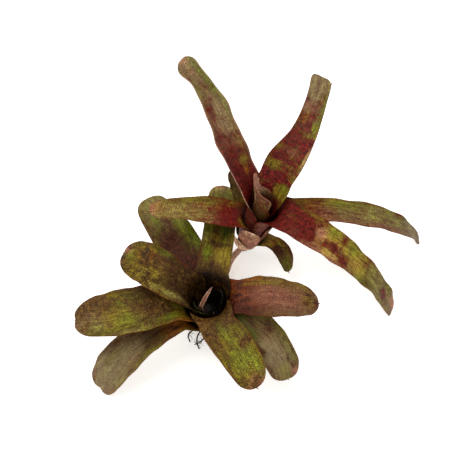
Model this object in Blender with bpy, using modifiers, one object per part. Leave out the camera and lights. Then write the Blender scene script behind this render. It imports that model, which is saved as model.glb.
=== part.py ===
"""A neoregelia bromeliad with bare roots: a mother rosette and the pup on its runner.

Both rosettes are built the way the plant grows. Every leaf is inserted on a short stem, its
sheath clasps the younger leaves inside it, and its blade arches out and away. The leaves of a
rosette are nested in tiers, counted from the heart outwards, and each leaf is one thin blade.
Lengths in this file are millimetres and angles are degrees, turned into metres and radians
where the meshes are made. The origin is the centre of the mother stem's flat cut foot.
"""

import math
from dataclasses import dataclass

import bmesh
import bpy
import numpy as np
from mathutils import Matrix, Vector

MM = 0.001

# The blade itself
LEAF_THICKNESS = 0.7
CLEARANCE = 0.3
APEX_HALF_WIDTH = 0.8
SPINE_LENGTH = 2.4
SPINE_HALF_WIDTH = 0.3

# How long the rounding of a tip is, for a half width of 1 mm, and how full it is
TIP_LENGTH = 1.1
TIP_FULLNESS = 2.2

# How a sheath leaves the stem: it starts nearly level and soon stands almost upright
SHEATH_START_PITCH = 20.0
SHEATH_PITCH = 86.0
SHEATH_PITCH_PER_TIER = 0.6
BEND_LENGTH = 20.0
FLATTEN_LENGTH = 26.0

# Where a sheath starts to take its blade's width, and over how much of its length it does so
BLADE_WIDTH_FROM = 0.75
BLADE_WIDTH_OVER = 0.45

# A blade has its full channel and roll after one part in this many of its length
CHANNEL_RATE = 3.0

# Rows along a leaf, as shares of its sheath and then of its blade, and columns across it
SHEATH_ROWS = (0.0, 0.03, 0.07, 0.13, 0.24, 0.42, 0.64, 0.86)
BLADE_ROWS = (0.02, 0.1, 0.18, 0.28, 0.4, 0.52, 0.64, 0.75, 0.84, 0.91, 0.96, 0.99, 1.0)
LEAF_COLUMNS = 7
MIDLINE_STEP = 0.5

# A leaf never curls more tightly across than this, also where it leans over the axis
TIGHTEST_RADIUS = 4.0

# The stems, as radius and height from the top down. The mother stands on its flat cut foot.
MOTHER_STEM = (
    (0.0, 32.0), (1.8, 31.7), (3.4, 30.8), (4.4, 29.4), (4.8, 27.0), (4.8, 15.0),
    (5.3, 12.0), (5.6, 6.0), (5.6, 1.2), (4.9, 0.0), (0.0, 0.0),
)
PUP_STEM = (
    (0.0, 27.0), (1.4, 26.6), (2.6, 25.6), (3.3, 24.2), (3.6, 22.0), (3.6, 10.0),
    (3.9, 7.0), (4.0, 3.4), (3.4, 1.4), (2.2, 0.4), (0.0, 0.0),
)
STEM_STEPS = 24

# The runner from the mother's stem to the pup's
RUNNER_RADIUS = 3.2
RUNNER_PATH = (
    (2.2, 5.6, 6.6), (5.0, 15.4, 5.2), (14.2, 44.0, 4.6), (16.6, 51.4, 4.44), (24.6, 61.4, 5.0),
)
RUNNER_RADII = (2.6, 3.2, 3.2, 3.2, 2.4)
TUBE_STEPS = 6

# Its papery scales: where each starts, its length, how far it flares and where it is turned to
RUNNER_BRACTS = ((1.5, 13.0, 4.6, 20.0), (16.0, 13.0, 4.4, -20.0))
BRACT_THICKNESS = 0.6
BRACT_WRAP = 110.0
BRACT_NARROWING = 0.75
BRACT_FLARE = 1.6
BRACT_ROWS = 7
BRACT_COLUMNS = 9

# Wiry roots, each from the foot of a stem out over the ground
ROOT_RADIUS = 0.7
ROOT_TAPER = (1.0, 0.95, 0.85, 0.75)
ROOT_PATHS = (
    ((-3.4, -5.2, 3.4), (-6.5, -8.5, 3.0), (-8.0, -14.0, 1.2), (-6.2, -20.0, 0.7)),
    ((-5.2, -3.4, 2.6), (-10.0, -5.0, 2.4), (-14.5, -9.0, 1.0), (-13.0, -14.5, 0.7)),
    ((-0.4, -6.2, 4.2), (-1.6, -11.0, 3.8), (-5.0, -15.5, 4.6), (-9.6, -17.5, 3.0)),
    ((3.6, -5.0, 2.4), (7.5, -9.5, 1.6), (12.5, -12.5, 0.8), (18.0, -11.0, 0.7)),
    ((-6.1, 1.4, 3.0), (-12.0, 3.6, 2.4), (-17.0, 2.0, 1.0), (-22.0, 4.5, 0.7)),
)

OLIVE = (0.12, 0.11, 0.03)
UMBER = (0.14, 0.08, 0.04)
GREEN = (0.14, 0.16, 0.03)
MAROON = (0.16, 0.02, 0.03)
ROSE = (0.35, 0.12, 0.10)
TAN = (0.55, 0.36, 0.24)
ROOT_BROWN = (0.06, 0.035, 0.025)


@dataclass(frozen=True)
class Rosette:
    """The stem that a rosette's leaves sit on, and how its tiers are spaced."""

    name: str
    foot: tuple
    lean: float
    lean_heading: float
    stem_radius: float
    crown_height: float
    tier_drop: float
    tier_spread: float
    heart_radius: float


@dataclass(frozen=True)
class Leaf:
    """One leaf. The tuples run along the blade, from where it leaves the sheath to its tip.
    shift is how far the blade's middle lies to the left of its midline."""

    name: str
    tier: int
    heading: float
    sheath: float
    blade: float
    climb: tuple
    half_width: tuple
    turn: tuple = (0.0, 0.0)
    roll: tuple = (0.0, 0.0)
    shift: tuple = (0.0, 0.0)
    wrap: float = 72.0
    channel: float = 2.0
    rests: bool = False
    colour: tuple = OLIVE


MOTHER = Rosette(
    name="mother",
    foot=(0.0, 0.0, 0.0),
    lean=0.0,
    lean_heading=0.0,
    stem_radius=4.8,
    crown_height=30.0,
    tier_drop=1.8,
    tier_spread=1.5,
    heart_radius=6.4,
)

PUP = Rosette(
    name="pup",
    foot=(27.0, 65.0, 0.12),
    lean=12.0,
    lean_heading=0.0,
    stem_radius=3.6,
    crown_height=24.0,
    tier_drop=2.0,
    tier_spread=1.15,
    heart_radius=4.3,
)

MOTHER_LEAVES = (
    Leaf(
        "mother_heart_leaf", 0, 222, 8, 26, (100, 140), (3.2, 2.8), wrap=34, channel=1.2,
        colour=ROSE,
    ),
    Leaf("mother_leaf_11", 1, 215, 13, 8, (84, 80), (8, 4), wrap=64, colour=GREEN),
    Leaf("mother_leaf_10", 2, 20, 15, 9, (84, 80), (9, 4), wrap=60, colour=GREEN),
    Leaf("mother_leaf_09", 2, 250, 15, 8, (84, 80), (9, 4), wrap=60, colour=GREEN),
    Leaf("mother_leaf_08", 3, 165, 34, 53, (25, 10, -5), (14, 16.5, 14), (-24, -9), colour=OLIVE),
    Leaf(
        "mother_leaf_07", 4, 286, 33, 61, (10, -5, -15), (12.5, 14.6, 13.6, 10), (22, 13),
        shift=(0.5, 1.4, 1.4, 0.5), colour=GREEN,
    ),
    Leaf("mother_leaf_06", 4, 79, 31, 84, (4, -11, -17), (12, 12, 11.5, 8), (-1, 14), colour=GREEN),
    Leaf(
        "mother_leaf_05", 5, 188, 30, 79, (5, -8, -12), (13, 17.6, 17.4, 12), (6, -4), shift=(0.5, 1, 0.5, 0),
        colour=OLIVE,
    ),
    Leaf("mother_leaf_04", 5, 0, 32, 64, (10, -8, -20), (12, 16, 14, 9.5), (-3, -1), colour=UMBER),
    Leaf(
        "mother_leaf_03", 6, 112, 30, 78, (12, -2, -15), (13, 16, 15, 11), (11, 8), wrap=64,
        colour=OLIVE,
    ),
    Leaf(
        "mother_leaf_02", 6, 334, 28, 68, (5, -25, -50), (12, 13.6, 11.2), (-1, -42),
        shift=(0, -0.6, 0), wrap=64, colour=UMBER,
    ),
    Leaf(
        "mother_leaf_01", 7, 211, 24, 88, (5, -20, -45), (9, 12.4, 14.8, 11), (-5, 12),
        shift=(0, -0.6, -1, -1), rests=True, colour=UMBER,
    ),
)

PUP_LEAVES = (
    Leaf(
        "pup_heart_leaf", 0, 165, 52, 31, (79, 72), (13, 12.5, 9, 2.5), shift=(0, 6, 4, 0), wrap=150,
        colour=ROSE,
    ),
    Leaf(
        "pup_leaf_07", 1, 70, 56, 93, (40, 30, 0), (12, 14, 10, 8, 8.3), (-13, -5, 10),
        shift=(0, 0, -1.6, -0.4, 0), wrap=100, colour=MAROON,
    ),
    Leaf(
        "pup_leaf_06", 2, 138, 56, 114, (40, 30, 5), (10, 11.5, 11, 8.3, 8.5),
        (5, -3, -10, -11, 2, -14), shift=(0, 0, 0, -1, -2.6, -1.6), wrap=115, colour=MAROON,
    ),
    Leaf(
        "pup_leaf_05", 3, 329, 57, 126, (6, -25, -60), (12, 14, 13, 11, 9.5, 8.5), (2, 7, 8),
        wrap=81, rests=True, colour=MAROON,
    ),
    Leaf(
        "pup_leaf_04", 3, 184, 37, 71, (14, 4, -6), (10, 12.2, 10.8, 8.4, 6.6), (-3, 0, 8),
        shift=(0, 1.1, 0.8, 0.4, 0.6), wrap=60, colour=OLIVE,
    ),
    Leaf(
        "pup_leaf_03", 4, 10, 50, 132, (5, -15, -65), (8, 10.2, 10.8, 10.5, 8, 5), (-5, -10, -8),
        shift=(-1, -2.2, -2.2, -1.6, -0.8, 0), rests=True, colour=GREEN,
    ),
    Leaf(
        "pup_leaf_02", 5, 122, 30, 31, (30, 22, 12), (6, 6.8, 5.4), (0, -8, -20), wrap=44,
        colour=OLIVE,
    ),
    Leaf(
        "pup_leaf_01", 5, 324, 21, 30, (0, -25, -35), (5.2, 6.8, 6.2, 3), (-12, -22),
        shift=(0.5, 2, 2.2, 0.8), wrap=36, colour=UMBER,
    ),
    Leaf("pup_pink_bract", 6, 250, 40, 8, (84, 80), (7, 5), wrap=32, channel=0.0, colour=ROSE),
    Leaf("pup_tan_bract", 7, 222, 24, 4, (77, 77), (7, 6), wrap=40, channel=0.0, colour=TAN),
)


def smooth_step(value):
    """0 below 0, 1 above 1, with level ends between."""
    t = np.clip(value, 0.0, 1.0)
    return t * t * (3.0 - 2.0 * t)


def along(values, share):
    """A smooth curve through evenly spaced values, read at a share from 0 to 1."""
    values = np.asarray(values, float)
    count = len(values) - 1
    place = np.clip(share, 0.0, 1.0) * count
    first = np.minimum(place.astype(int), count - 1)
    t = place - first
    slopes = np.gradient(values) if count > 1 else np.full(2, values[1] - values[0])
    low, high = values[first], values[first + 1]
    return (
        low * (1 + 2 * t) * (1 - t) ** 2
        + high * t**2 * (3 - 2 * t)
        + slopes[first] * t * (1 - t) ** 2
        - slopes[first + 1] * t**2 * (1 - t)
    )


def bowl_reach(pitch):
    """How far a sheath moves out while its pitch settles, for a settling length of 1 mm."""
    x = np.arange(0.0, 12.0, 0.01)
    angle = np.radians(pitch - (pitch - SHEATH_START_PITCH) * np.exp(-x))
    return float(np.sum(np.cos(angle) - math.cos(math.radians(pitch))) * 0.01)


def midline(rosette, leaf, droop):
    """The leaf's midline in the rosette's own frame: length, radius, height, plan position,
    pitch and heading at fine steps. droop is an extra fall of the pitch towards the tip."""
    total = leaf.sheath + leaf.blade + SPINE_LENGTH
    s = np.arange(0.0, total + MIDLINE_STEP, MIDLINE_STEP)
    upright = SHEATH_PITCH - SHEATH_PITCH_PER_TIER * leaf.tier
    start_radius = rosette.stem_radius + CLEARANCE + 0.2
    spread = rosette.heart_radius + rosette.tier_spread * leaf.tier - start_radius
    settle = spread / bowl_reach(upright)
    sheath_pitch = upright - (upright - SHEATH_START_PITCH) * np.exp(-s / settle)
    share = (s - leaf.sheath) / leaf.blade
    blade_pitch = along(leaf.climb, share) - droop * np.clip(share, 0.0, 1.0)
    bend = smooth_step((s - leaf.sheath + BEND_LENGTH / 2) / BEND_LENGTH)
    pitch = np.radians(sheath_pitch * (1 - bend) + blade_pitch * bend)
    turn = along(leaf.turn, share) * smooth_step(share * leaf.blade / BEND_LENGTH)
    heading = np.radians(leaf.heading + turn)
    steps = np.diff(s, prepend=0.0)
    middle_pitch = (pitch + np.roll(pitch, 1)) / 2
    middle_pitch[0] = pitch[0]
    middle_heading = (heading + np.roll(heading, 1)) / 2
    middle_heading[0] = heading[0]
    out = np.cos(middle_pitch) * steps
    radius = start_radius + np.cumsum(out)
    first = start_radius * np.array([math.cos(heading[0]), math.sin(heading[0])])
    plan_x = first[0] + np.cumsum(out * np.cos(middle_heading))
    plan_y = first[1] + np.cumsum(out * np.sin(middle_heading))
    insertion = rosette.crown_height - rosette.tier_drop * leaf.tier
    height = insertion + np.cumsum(np.sin(middle_pitch) * steps)
    return s, radius, height, plan_x, plan_y, pitch, heading


def half_width_at(leaf, s, radius):
    """Half the leaf's width along s: the clasping sheath, the blade, its rounded end, its spine."""
    share = (s - leaf.sheath) / leaf.blade
    blade = along(leaf.half_width, share)
    end = TIP_LENGTH * leaf.half_width[-1] / leaf.blade
    past = np.clip((share - 1 + end) / end, 0.0, 1.0)
    rounded = APEX_HALF_WIDTH + (blade - APEX_HALF_WIDTH) * np.sqrt(1 - past**TIP_FULLNESS)
    sheath = radius * math.radians(leaf.wrap)
    near_blade = smooth_step((s / leaf.sheath - BLADE_WIDTH_FROM) / BLADE_WIDTH_OVER)
    width = sheath * (1 - near_blade) + rounded * near_blade
    return np.where(share > 1, SPINE_HALF_WIDTH, width)


def leaf_points(rosette, leaf, rows, columns, droop):
    """The leaf's middle surface as rows of points in the rosette's own frame. rows holds
    lengths along the leaf and columns holds places across it, from -1 to 1."""
    s, radius, height, plan_x, plan_y, pitch, heading = midline(rosette, leaf, droop)
    radius, height, plan_x, plan_y, pitch, heading = (
        np.interp(rows, s, values)[:, None]
        for values in (radius, height, plan_x, plan_y, pitch, heading)
    )
    rows = np.asarray(rows)[:, None]
    share = (rows - leaf.sheath) / leaf.blade
    half = half_width_at(leaf, rows, radius)
    across = np.asarray(columns)[None, :] * half + along(leaf.shift, share)

    # In the sheath a row is an arc round the rosette's axis
    round_axis = np.maximum(radius, TIGHTEST_RADIUS)
    middle = math.radians(leaf.heading)
    around = middle + across / round_axis
    clasping = np.stack(
        [
            plan_x + round_axis * (np.cos(around) - math.cos(middle)),
            plan_y + round_axis * (np.sin(around) - math.sin(middle)),
            height + 0 * around,
        ],
        axis=-1,
    )

    # In the blade a row is a shallow arc square to the midline
    trough = 2 * leaf.channel / max(leaf.half_width) ** 2
    grown = smooth_step(share * CHANNEL_RATE)
    curve = np.maximum(np.sin(pitch), 0.0) / round_axis + trough * grown
    sideways = np.sin(curve * across) / curve
    up = (1 - np.cos(curve * across)) / curve
    roll = np.radians(along(leaf.roll, share)) * grown
    side_axis = np.stack([-np.sin(heading), np.cos(heading), 0 * heading], axis=-1)
    up_axis = np.stack(
        [-np.sin(pitch) * np.cos(heading), -np.sin(pitch) * np.sin(heading), np.cos(pitch)],
        axis=-1,
    )
    turned_side = side_axis * np.cos(roll)[..., None] + up_axis * np.sin(roll)[..., None]
    turned_up = up_axis * np.cos(roll)[..., None] - side_axis * np.sin(roll)[..., None]
    centre = np.stack([plan_x, plan_y, height], axis=-1)
    free = centre + turned_side * sideways[..., None] + turned_up * up[..., None]

    open_share = smooth_step((rows - leaf.sheath + BEND_LENGTH / 2) / FLATTEN_LENGTH)[..., None]
    return clasping * (1 - open_share) + free * open_share


def rosette_matrix(rosette):
    """Where the rosette's own frame stands: its foot and its lean."""
    towards = math.radians(rosette.lean_heading)
    lean_axis = Vector((-math.sin(towards), math.cos(towards), 0.0))
    turn = Matrix.Rotation(math.radians(rosette.lean), 4, lean_axis)
    return Matrix.Translation(Vector(rosette.foot) * MM) @ turn


def leaf_rows(leaf):
    """Lengths along the leaf at which it has a row of points."""
    sheath = [share * leaf.sheath for share in SHEATH_ROWS]
    blade = [leaf.sheath + share * leaf.blade for share in BLADE_ROWS]
    return np.array(sheath + blade + [leaf.sheath + leaf.blade + SPINE_LENGTH])


def droop_to_rest(rosette, leaf):
    """The extra droop with which the leaf's lowest point just meets the ground."""
    if not leaf.rests:
        return 0.0
    place = np.array(rosette_matrix(rosette))
    rows, columns = leaf_rows(leaf), np.linspace(-1, 1, LEAF_COLUMNS)
    low, high = -60.0, 60.0
    for _ in range(40):
        droop = (low + high) / 2
        points = leaf_points(rosette, leaf, rows, columns, droop) * MM
        world_z = points @ place[2, :3] + place[2, 3]
        if world_z.min() < LEAF_THICKNESS / 2 * MM:
            high = droop
        else:
            low = droop
    return low


def make_material(name, colour, roughness):
    """A plain Principled material."""
    material = bpy.data.materials.new(name)
    material.use_nodes = True
    shader = material.node_tree.nodes["Principled BSDF"]
    shader.inputs["Base Color"].default_value = (*colour, 1.0)
    shader.inputs["Roughness"].default_value = roughness
    shader.inputs["Metallic"].default_value = 0.0
    return material


def add_object(name, data, collection, parent, colour, roughness):
    """Links a mesh or curve as a named object with its own material."""
    made = bpy.data.objects.new(name, data)
    data.materials.append(make_material(name, colour, roughness))
    collection.objects.link(made)
    made.parent = parent
    return made


def grid_mesh(name, points):
    """A triangulated sheet through rows of points in millimetres, made from a plain grid."""
    row_count, column_count = points.shape[:2]
    sheet = bmesh.new()
    bmesh.ops.create_grid(
        sheet, x_segments=row_count - 1, y_segments=column_count - 1, size=1.0
    )
    for vertex in sheet.verts:
        row = round((vertex.co.x + 1) / 2 * (row_count - 1))
        column = round((vertex.co.y + 1) / 2 * (column_count - 1))
        vertex.co = Vector(points[row, column]) * MM
    bmesh.ops.triangulate(sheet, faces=sheet.faces, quad_method="SHORT_EDGE")
    mesh = bpy.data.meshes.new(name)
    sheet.to_mesh(mesh)
    sheet.free()
    mesh.shade_smooth()
    return mesh


def thicken(sheet_object, thickness):
    """Gives an open sheet its thickness, half on each side."""
    solid = sheet_object.modifiers.new("thickness", "SOLIDIFY")
    solid.thickness = thickness * MM
    solid.offset = 0.0
    solid.use_rim = True


def build_leaf(rosette, leaf, collection, parent):
    """One leaf as a thin closed blade."""
    columns = np.linspace(-1, 1, LEAF_COLUMNS)
    droop = droop_to_rest(rosette, leaf)
    points = leaf_points(rosette, leaf, leaf_rows(leaf), columns, droop)
    mesh = grid_mesh(leaf.name, points)
    made = add_object(leaf.name, mesh, collection, parent, leaf.colour, 0.5)
    thicken(made, LEAF_THICKNESS)
    return made


def build_rosette(rosette, leaves, collection):
    """An empty at the rosette's foot, with its leaves on it."""
    frame = bpy.data.objects.new(rosette.name + "_frame", None)
    frame.matrix_world = rosette_matrix(rosette)
    collection.objects.link(frame)
    for leaf in leaves:
        build_leaf(rosette, leaf, collection, frame)
    return frame


def build_stem(name, profile, collection, parent):
    """A stem turned from its profile, which runs from the top down its outer side."""
    turned = bmesh.new()
    points = [turned.verts.new((radius * MM, 0.0, height * MM)) for radius, height in profile]
    for upper, lower in zip(points, points[1:]):
        turned.edges.new((upper, lower))
    mesh = bpy.data.meshes.new(name)
    turned.to_mesh(mesh)
    turned.free()
    stem = add_object(name, mesh, collection, parent, UMBER, 0.7)
    screw = stem.modifiers.new("turned", "SCREW")
    screw.steps = STEM_STEPS
    screw.render_steps = STEM_STEPS
    screw.use_merge_vertices = True
    screw.merge_threshold = 0.00001
    screw.use_smooth_shade = True
    return stem


def build_tube(name, path, radii, bevel, collection, colour):
    """A round tube along a smooth path, with a radius at each point and closed ends."""
    curve = bpy.data.curves.new(name, "CURVE")
    curve.dimensions = "3D"
    curve.resolution_u = TUBE_STEPS
    curve.bevel_depth = MM
    curve.bevel_resolution = bevel
    curve.use_fill_caps = True
    spline = curve.splines.new("BEZIER")
    spline.bezier_points.add(len(path) - 1)
    for point, place, radius in zip(spline.bezier_points, path, radii):
        point.co = Vector(place) * MM
        point.radius = radius
        point.handle_left_type = "AUTO"
        point.handle_right_type = "AUTO"
    return add_object(name, curve, collection, None, colour, 0.7)


def build_runner_bract(name, start, length, reach, turned, collection):
    """A papery scale that clasps the runner and flares away from it towards the pup."""
    way = (Vector(RUNNER_PATH[2]) - Vector(RUNNER_PATH[1])).normalized()
    side = way.cross(Vector((0.0, 0.0, 1.0))).normalized()
    top = side.cross(way)
    points = np.zeros((BRACT_ROWS, BRACT_COLUMNS, 3))
    inner = RUNNER_RADIUS + CLEARANCE + BRACT_THICKNESS / 2
    for row in range(BRACT_ROWS):
        share = row / (BRACT_ROWS - 1)
        radius = inner + (reach - inner) * share**BRACT_FLARE
        half = math.radians(BRACT_WRAP) * (1 - BRACT_NARROWING * share**2)
        centre = Vector(RUNNER_PATH[1]) + way * (start + length * share)
        for column in range(BRACT_COLUMNS):
            angle = math.radians(turned) + half * (2 * column / (BRACT_COLUMNS - 1) - 1)
            out = top * math.cos(angle) + side * math.sin(angle)
            points[row, column] = centre + out * radius
    made = add_object(name, grid_mesh(name, points), collection, None, TAN, 0.8)
    thicken(made, BRACT_THICKNESS)
    return made


def main():
    """Clears the scene and builds the plant."""
    for old in list(bpy.data.objects):
        bpy.data.objects.remove(old)
    plant = bpy.data.collections.new("neoregelia")
    bpy.context.scene.collection.children.link(plant)
    mother = build_rosette(MOTHER, MOTHER_LEAVES, plant)
    pup = build_rosette(PUP, PUP_LEAVES, plant)
    build_stem("mother_stem", MOTHER_STEM, plant, mother)
    build_stem("pup_stem", PUP_STEM, plant, pup)
    build_tube("runner", RUNNER_PATH, RUNNER_RADII, 3, plant, TAN)
    for number, sizes in enumerate(RUNNER_BRACTS, start=1):
        build_runner_bract(f"runner_bract_{number:02d}", *sizes, plant)
    radii = [ROOT_RADIUS * share for share in ROOT_TAPER]
    for number, path in enumerate(ROOT_PATHS, start=1):
        build_tube(f"root_{number:02d}", path, radii, 0, plant, ROOT_BROWN)


main()
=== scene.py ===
"""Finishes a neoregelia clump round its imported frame.

Two rosettes, a mother and the pup on its runner, get finely meshed leaves with marginal teeth,
crimps and mottled skins, and the stems, runner, scales and roots get their bark and fibres.
Every fine piece follows the same growth rules as the solid that it stands for, so it lies in
the same place. Lengths are millimetres and angles are degrees unless a name says otherwise.
"""

import logging
import math
from dataclasses import dataclass, replace
from enum import Enum

import bpy
import numpy as np
from mathutils import Matrix, Vector


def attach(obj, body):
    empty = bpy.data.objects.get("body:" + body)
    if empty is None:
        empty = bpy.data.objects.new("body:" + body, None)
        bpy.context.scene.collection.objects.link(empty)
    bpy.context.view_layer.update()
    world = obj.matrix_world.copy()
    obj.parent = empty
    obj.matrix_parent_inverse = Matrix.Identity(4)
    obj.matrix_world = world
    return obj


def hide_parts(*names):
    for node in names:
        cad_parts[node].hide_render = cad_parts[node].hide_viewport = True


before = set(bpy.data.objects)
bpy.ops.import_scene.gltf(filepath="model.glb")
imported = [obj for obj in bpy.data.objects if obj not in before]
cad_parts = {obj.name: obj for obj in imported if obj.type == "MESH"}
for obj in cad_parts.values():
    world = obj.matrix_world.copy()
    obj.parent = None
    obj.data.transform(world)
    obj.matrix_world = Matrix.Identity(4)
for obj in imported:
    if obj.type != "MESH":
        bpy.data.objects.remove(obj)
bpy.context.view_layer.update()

LOG = logging.getLogger("neoregelia")

MM = 0.001
BODY = "root"

# The growth rules of a leaf, the same as in the part's source
CLEARANCE = 0.3
MUCRO_LENGTH = 2.4
SHEATH_START_PITCH = 20.0
SHEATH_PITCH = 86.0
SHEATH_PITCH_PER_TIER = 0.6
BEND_LENGTH = 20.0
FLATTEN_LENGTH = 26.0
MIDLINE_STEP = 0.5
TIGHTEST_RADIUS = 4.0

# How long the rounding of a tip is, for a half width of 1 mm, and how full it is
TIP_LENGTH = 1.1
TIP_FULLNESS = 2.2

# Where a sheath starts to take its blade's width, and over how much of its length it does so
BLADE_WIDTH_FROM = 0.75
BLADE_WIDTH_OVER = 0.45

# A blade has its full channel and roll after one part in this many of its length
CHANNEL_RATE = 3.0

# How much shallower the trough beyond a crimp is than its fold, and how many widths past it
CRIMP_TROUGH = 0.8
CRIMP_TROUGH_AT = 1.9

# How finely a leaf is meshed, and how thick it is
SHEATH_ROW_COUNT = 26
BLADE_ROW_COUNT = 120
COLUMN_COUNT = 29
SHEATH_THICKNESS = 0.6
BLADE_THICKNESS = 0.9
MARGIN_THICKNESS = 0.3

# No point lies below the floor, and faces meet in an edge where they turn by more than this
FLOOR_HEIGHT = 0.0
SHARP_ANGLE = 50.0

# How much light the faces of a leaf and of a fibrous piece throw back
LEAF_SPECULAR = 0.07
FIBROUS_SPECULAR = 0.25

# A blade has its full thickness after one part in this many of its length, and thins towards
# its margin over this distance
BODY_RATE = 4.0
THINNING = 2.5

# How far a mark's tint takes over the ground
MARK_STRENGTH = 0.85

# A spot is read from this many of the nearest points, none of them counted as nearer than this
# many pixels, and its reach along the blade over this many rows before and after it
SPOT_POINTS = 4
SPOT_NEAREST = 0.2
SPOT_ROWS = 3

# How late a band's side tints set in, how much of the underside is sage, and where on the blade
# the sheath's tint ends and over what length it gives way
SIDE_TINT_POWER = 1.7
UNDERSIDE_SAGE = 0.25
# On the upper face the sheath's tint is, for most leaves, a painted shade that darkens each leaf into its cup
SHEATH_TINT_END = 2.0
SHEATH_TINT_OVER = 9.0

# The pale margin: how wide and strong it is, and how soon it starts. The underside has more grey
MARGIN_WIDTH = 0.45
MARGIN_STRENGTH = 0.8
MARGIN_RATE = 6.0
TIP_MARGIN = 0.1
UNDERSIDE_GREY = 1.5

# Marginal teeth: how far apart and large they are, how unevenly, and on what part of a margin
TOOTH_SPACING = 1.9
TOOTH_LENGTH = 0.75
TOOTH_WIDTH = 0.75
TOOTH_DEPTH = 0.12
TOOTH_ROOT = 0.35
TOOTH_WANDER = 0.35
TOOTH_SIZES = (0.65, 1.1)
TEETH_FROM_SHARE = 0.06
TEETH_END_BEFORE = 1.0

Values = tuple[float, ...]
Colour = tuple[float, float, float]


class Tint(Enum):
    """The colours of the plant, as a screen shows them, from 0 to 255."""

    # Painted shade: SHADE is the near-black of the cups' depths, not a colour of the plant
    SHADE = (12, 7, 4)
    DEEP = (44, 18, 8)
    COCOA = (62, 42, 14)
    UMBER = (90, 62, 26)
    BRONZE = (112, 92, 22)
    OLIVE = (96, 94, 20)
    MOSS = (58, 72, 8)
    LEAF = (88, 98, 16)
    LIME = (116, 118, 34)
    GOLD = (130, 112, 36)
    LEMON = (172, 142, 60)
    SAGE = (126, 114, 62)
    ASH = (134, 116, 86)
    DRAB = (112, 88, 58)
    MAUVE = (128, 78, 64)
    ORANGE = (128, 74, 12)
    RUST = (98, 36, 8)
    CRIMSON = (94, 20, 18)
    WINE = (56, 8, 10)
    MAROON = (66, 28, 16)
    ROSE = (170, 112, 96)
    BLUSH = (216, 170, 152)
    CREAM = (226, 204, 156)
    TAN = (178, 138, 104)
    BARK = (90, 60, 40)
    SOIL = (44, 32, 26)

    def linear(self) -> Colour:
        """The colour as linear light."""
        return tuple(
            value / 255 / 12.92 if value < 10.3 else ((value / 255 + 0.055) / 1.055) ** 2.4
            for value in self.value
        )


@dataclass(frozen=True)
class Band:
    """The ground colours across a leaf at one place along its blade."""

    at: float
    middle: Tint
    left: Tint | None = None
    right: Tint | None = None

    def across(self) -> np.ndarray:
        """The linear colours of the left margin, the middle and the right margin."""
        sides = (self.left or self.middle, self.middle, self.right or self.middle)
        return np.array([tint.linear() for tint in sides])


@dataclass(frozen=True)
class Crimp:
    """A fold across a blade: its place along the blade, depth, width and bow towards the tip."""

    at: float
    depth: float
    width: float
    bow: float = 0.0
    side: float = 0.0


@dataclass(frozen=True)
class Form:
    """What a fine leaf's outline and face have beyond the plain growth rules.

    left and right are widths to add along each margin. The tip is a superellipse, which slant
    draws back on the left and notch draws back at the middle. ripple is how far the margins
    wave up and down, in waves along the blade.
    """

    left: Values = (0.0, 0.0)
    right: Values = (0.0, 0.0)
    tip_power: float = 2.2
    slant: float = 0.0
    notch: float = 0.0
    ripple: float = 0.7
    waves: float = 4.0
    crease: float = 0.35
    mucro_bend: float = 20.0
    mucro_at: float = 0.0
    crimps: tuple[Crimp, ...] = ()


@dataclass(frozen=True)
class Mark:
    """A cloudy mark at a place along and across a blade, with its reach each way.

    It tints the ground, and red adds to how much of the blade the blotches cover there.
    """

    at: float
    across: float
    length: float
    width: float
    tint: Tint | None = None
    red: float = 0.0

    def weight(self, share: np.ndarray, columns: np.ndarray) -> np.ndarray:
        """How strongly the mark shows at each point, from 0 to 1."""
        way = ((share - self.at) / self.length) ** 2 + ((columns - self.across) / self.width) ** 2
        return np.exp(-(way**1.3))


@dataclass(frozen=True)
class Spot:
    """A mark picked in the photograph, by its pixel and by its reach in pixels.

    u runs to the right and v runs down. along and across are the reach each way of its leaf.
    """

    tint: Tint
    along: float
    across: float
    u: float
    v: float
    red: float = 0.0


@dataclass(frozen=True)
class PhotoView:
    """Where the photograph was taken from, and how many pixels wide it is."""

    target: Values = (14.0, 61.0, 45.0)
    elevation: float = 62.0
    distance: float = 850.0
    width_seen: float = 339.0
    width_in_pixels: float = 452.0

    def pixels(self, points: np.ndarray) -> np.ndarray:
        """The pixel at which each point is seen.

        Args:
            points: points in millimetres in the row's frame.

        Returns:
            u and v of each point.
        """
        angle = math.radians(self.elevation)
        ahead = np.array([0.0, math.cos(angle), -math.sin(angle)])
        upward = np.array([0.0, math.sin(angle), math.cos(angle)])
        offset = points - np.array(self.target) + ahead * self.distance
        scale = self.distance / self.width_seen * self.width_in_pixels / (offset @ ahead)
        middle = self.width_in_pixels / 2
        return np.stack([middle + offset[..., 0] * scale, middle - (offset @ upward) * scale], axis=-1)


@dataclass(frozen=True)
class Skin:
    """How a leaf is coloured. Values run from the foot of the blade to its tip.

    red is how much of the blade its blotches cover, and grey how thick its pale scurf lies.
    along and across are the size of the blotches, dots how dense the fine specks are and
    mottle how uneven the ground is.
    """

    bands: tuple[Band, ...]
    red: Values = (0.5, 0.4, 0.3)
    grey: Values = (0.1, 0.2, 0.3)
    blotch: Tint = Tint.MAROON
    dot: Tint = Tint.DEEP
    margin: Tint = Tint.RUST
    # The inner face of the sheath, down in the cup: by default a painted shade, the near-black of the cup's
    # depths
    inner: Tint = Tint.SHADE
    outer: Tint = Tint.UMBER
    along: float = 7.0
    across: float = 7.0
    dots: float = 0.5
    mottle: float = 1.0
    roughness: float = 0.42
    marks: tuple[Mark | Spot, ...] = ()


@dataclass(frozen=True)
class Rosette:
    """The stem that a rosette's leaves sit on, and how its tiers are spaced."""

    name: str
    foot: Values
    lean: float
    stem_radius: float
    crown_height: float
    tier_drop: float
    tier_spread: float
    heart_radius: float

    def matrix(self) -> Matrix:
        """Where the rosette's own frame stands: its foot and its lean towards +X."""
        turn = Matrix.Rotation(math.radians(self.lean), 4, Vector((0.0, 1.0, 0.0)))
        return Matrix.Translation(Vector(self.foot) * MM) @ turn


PHOTO = PhotoView()


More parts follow.
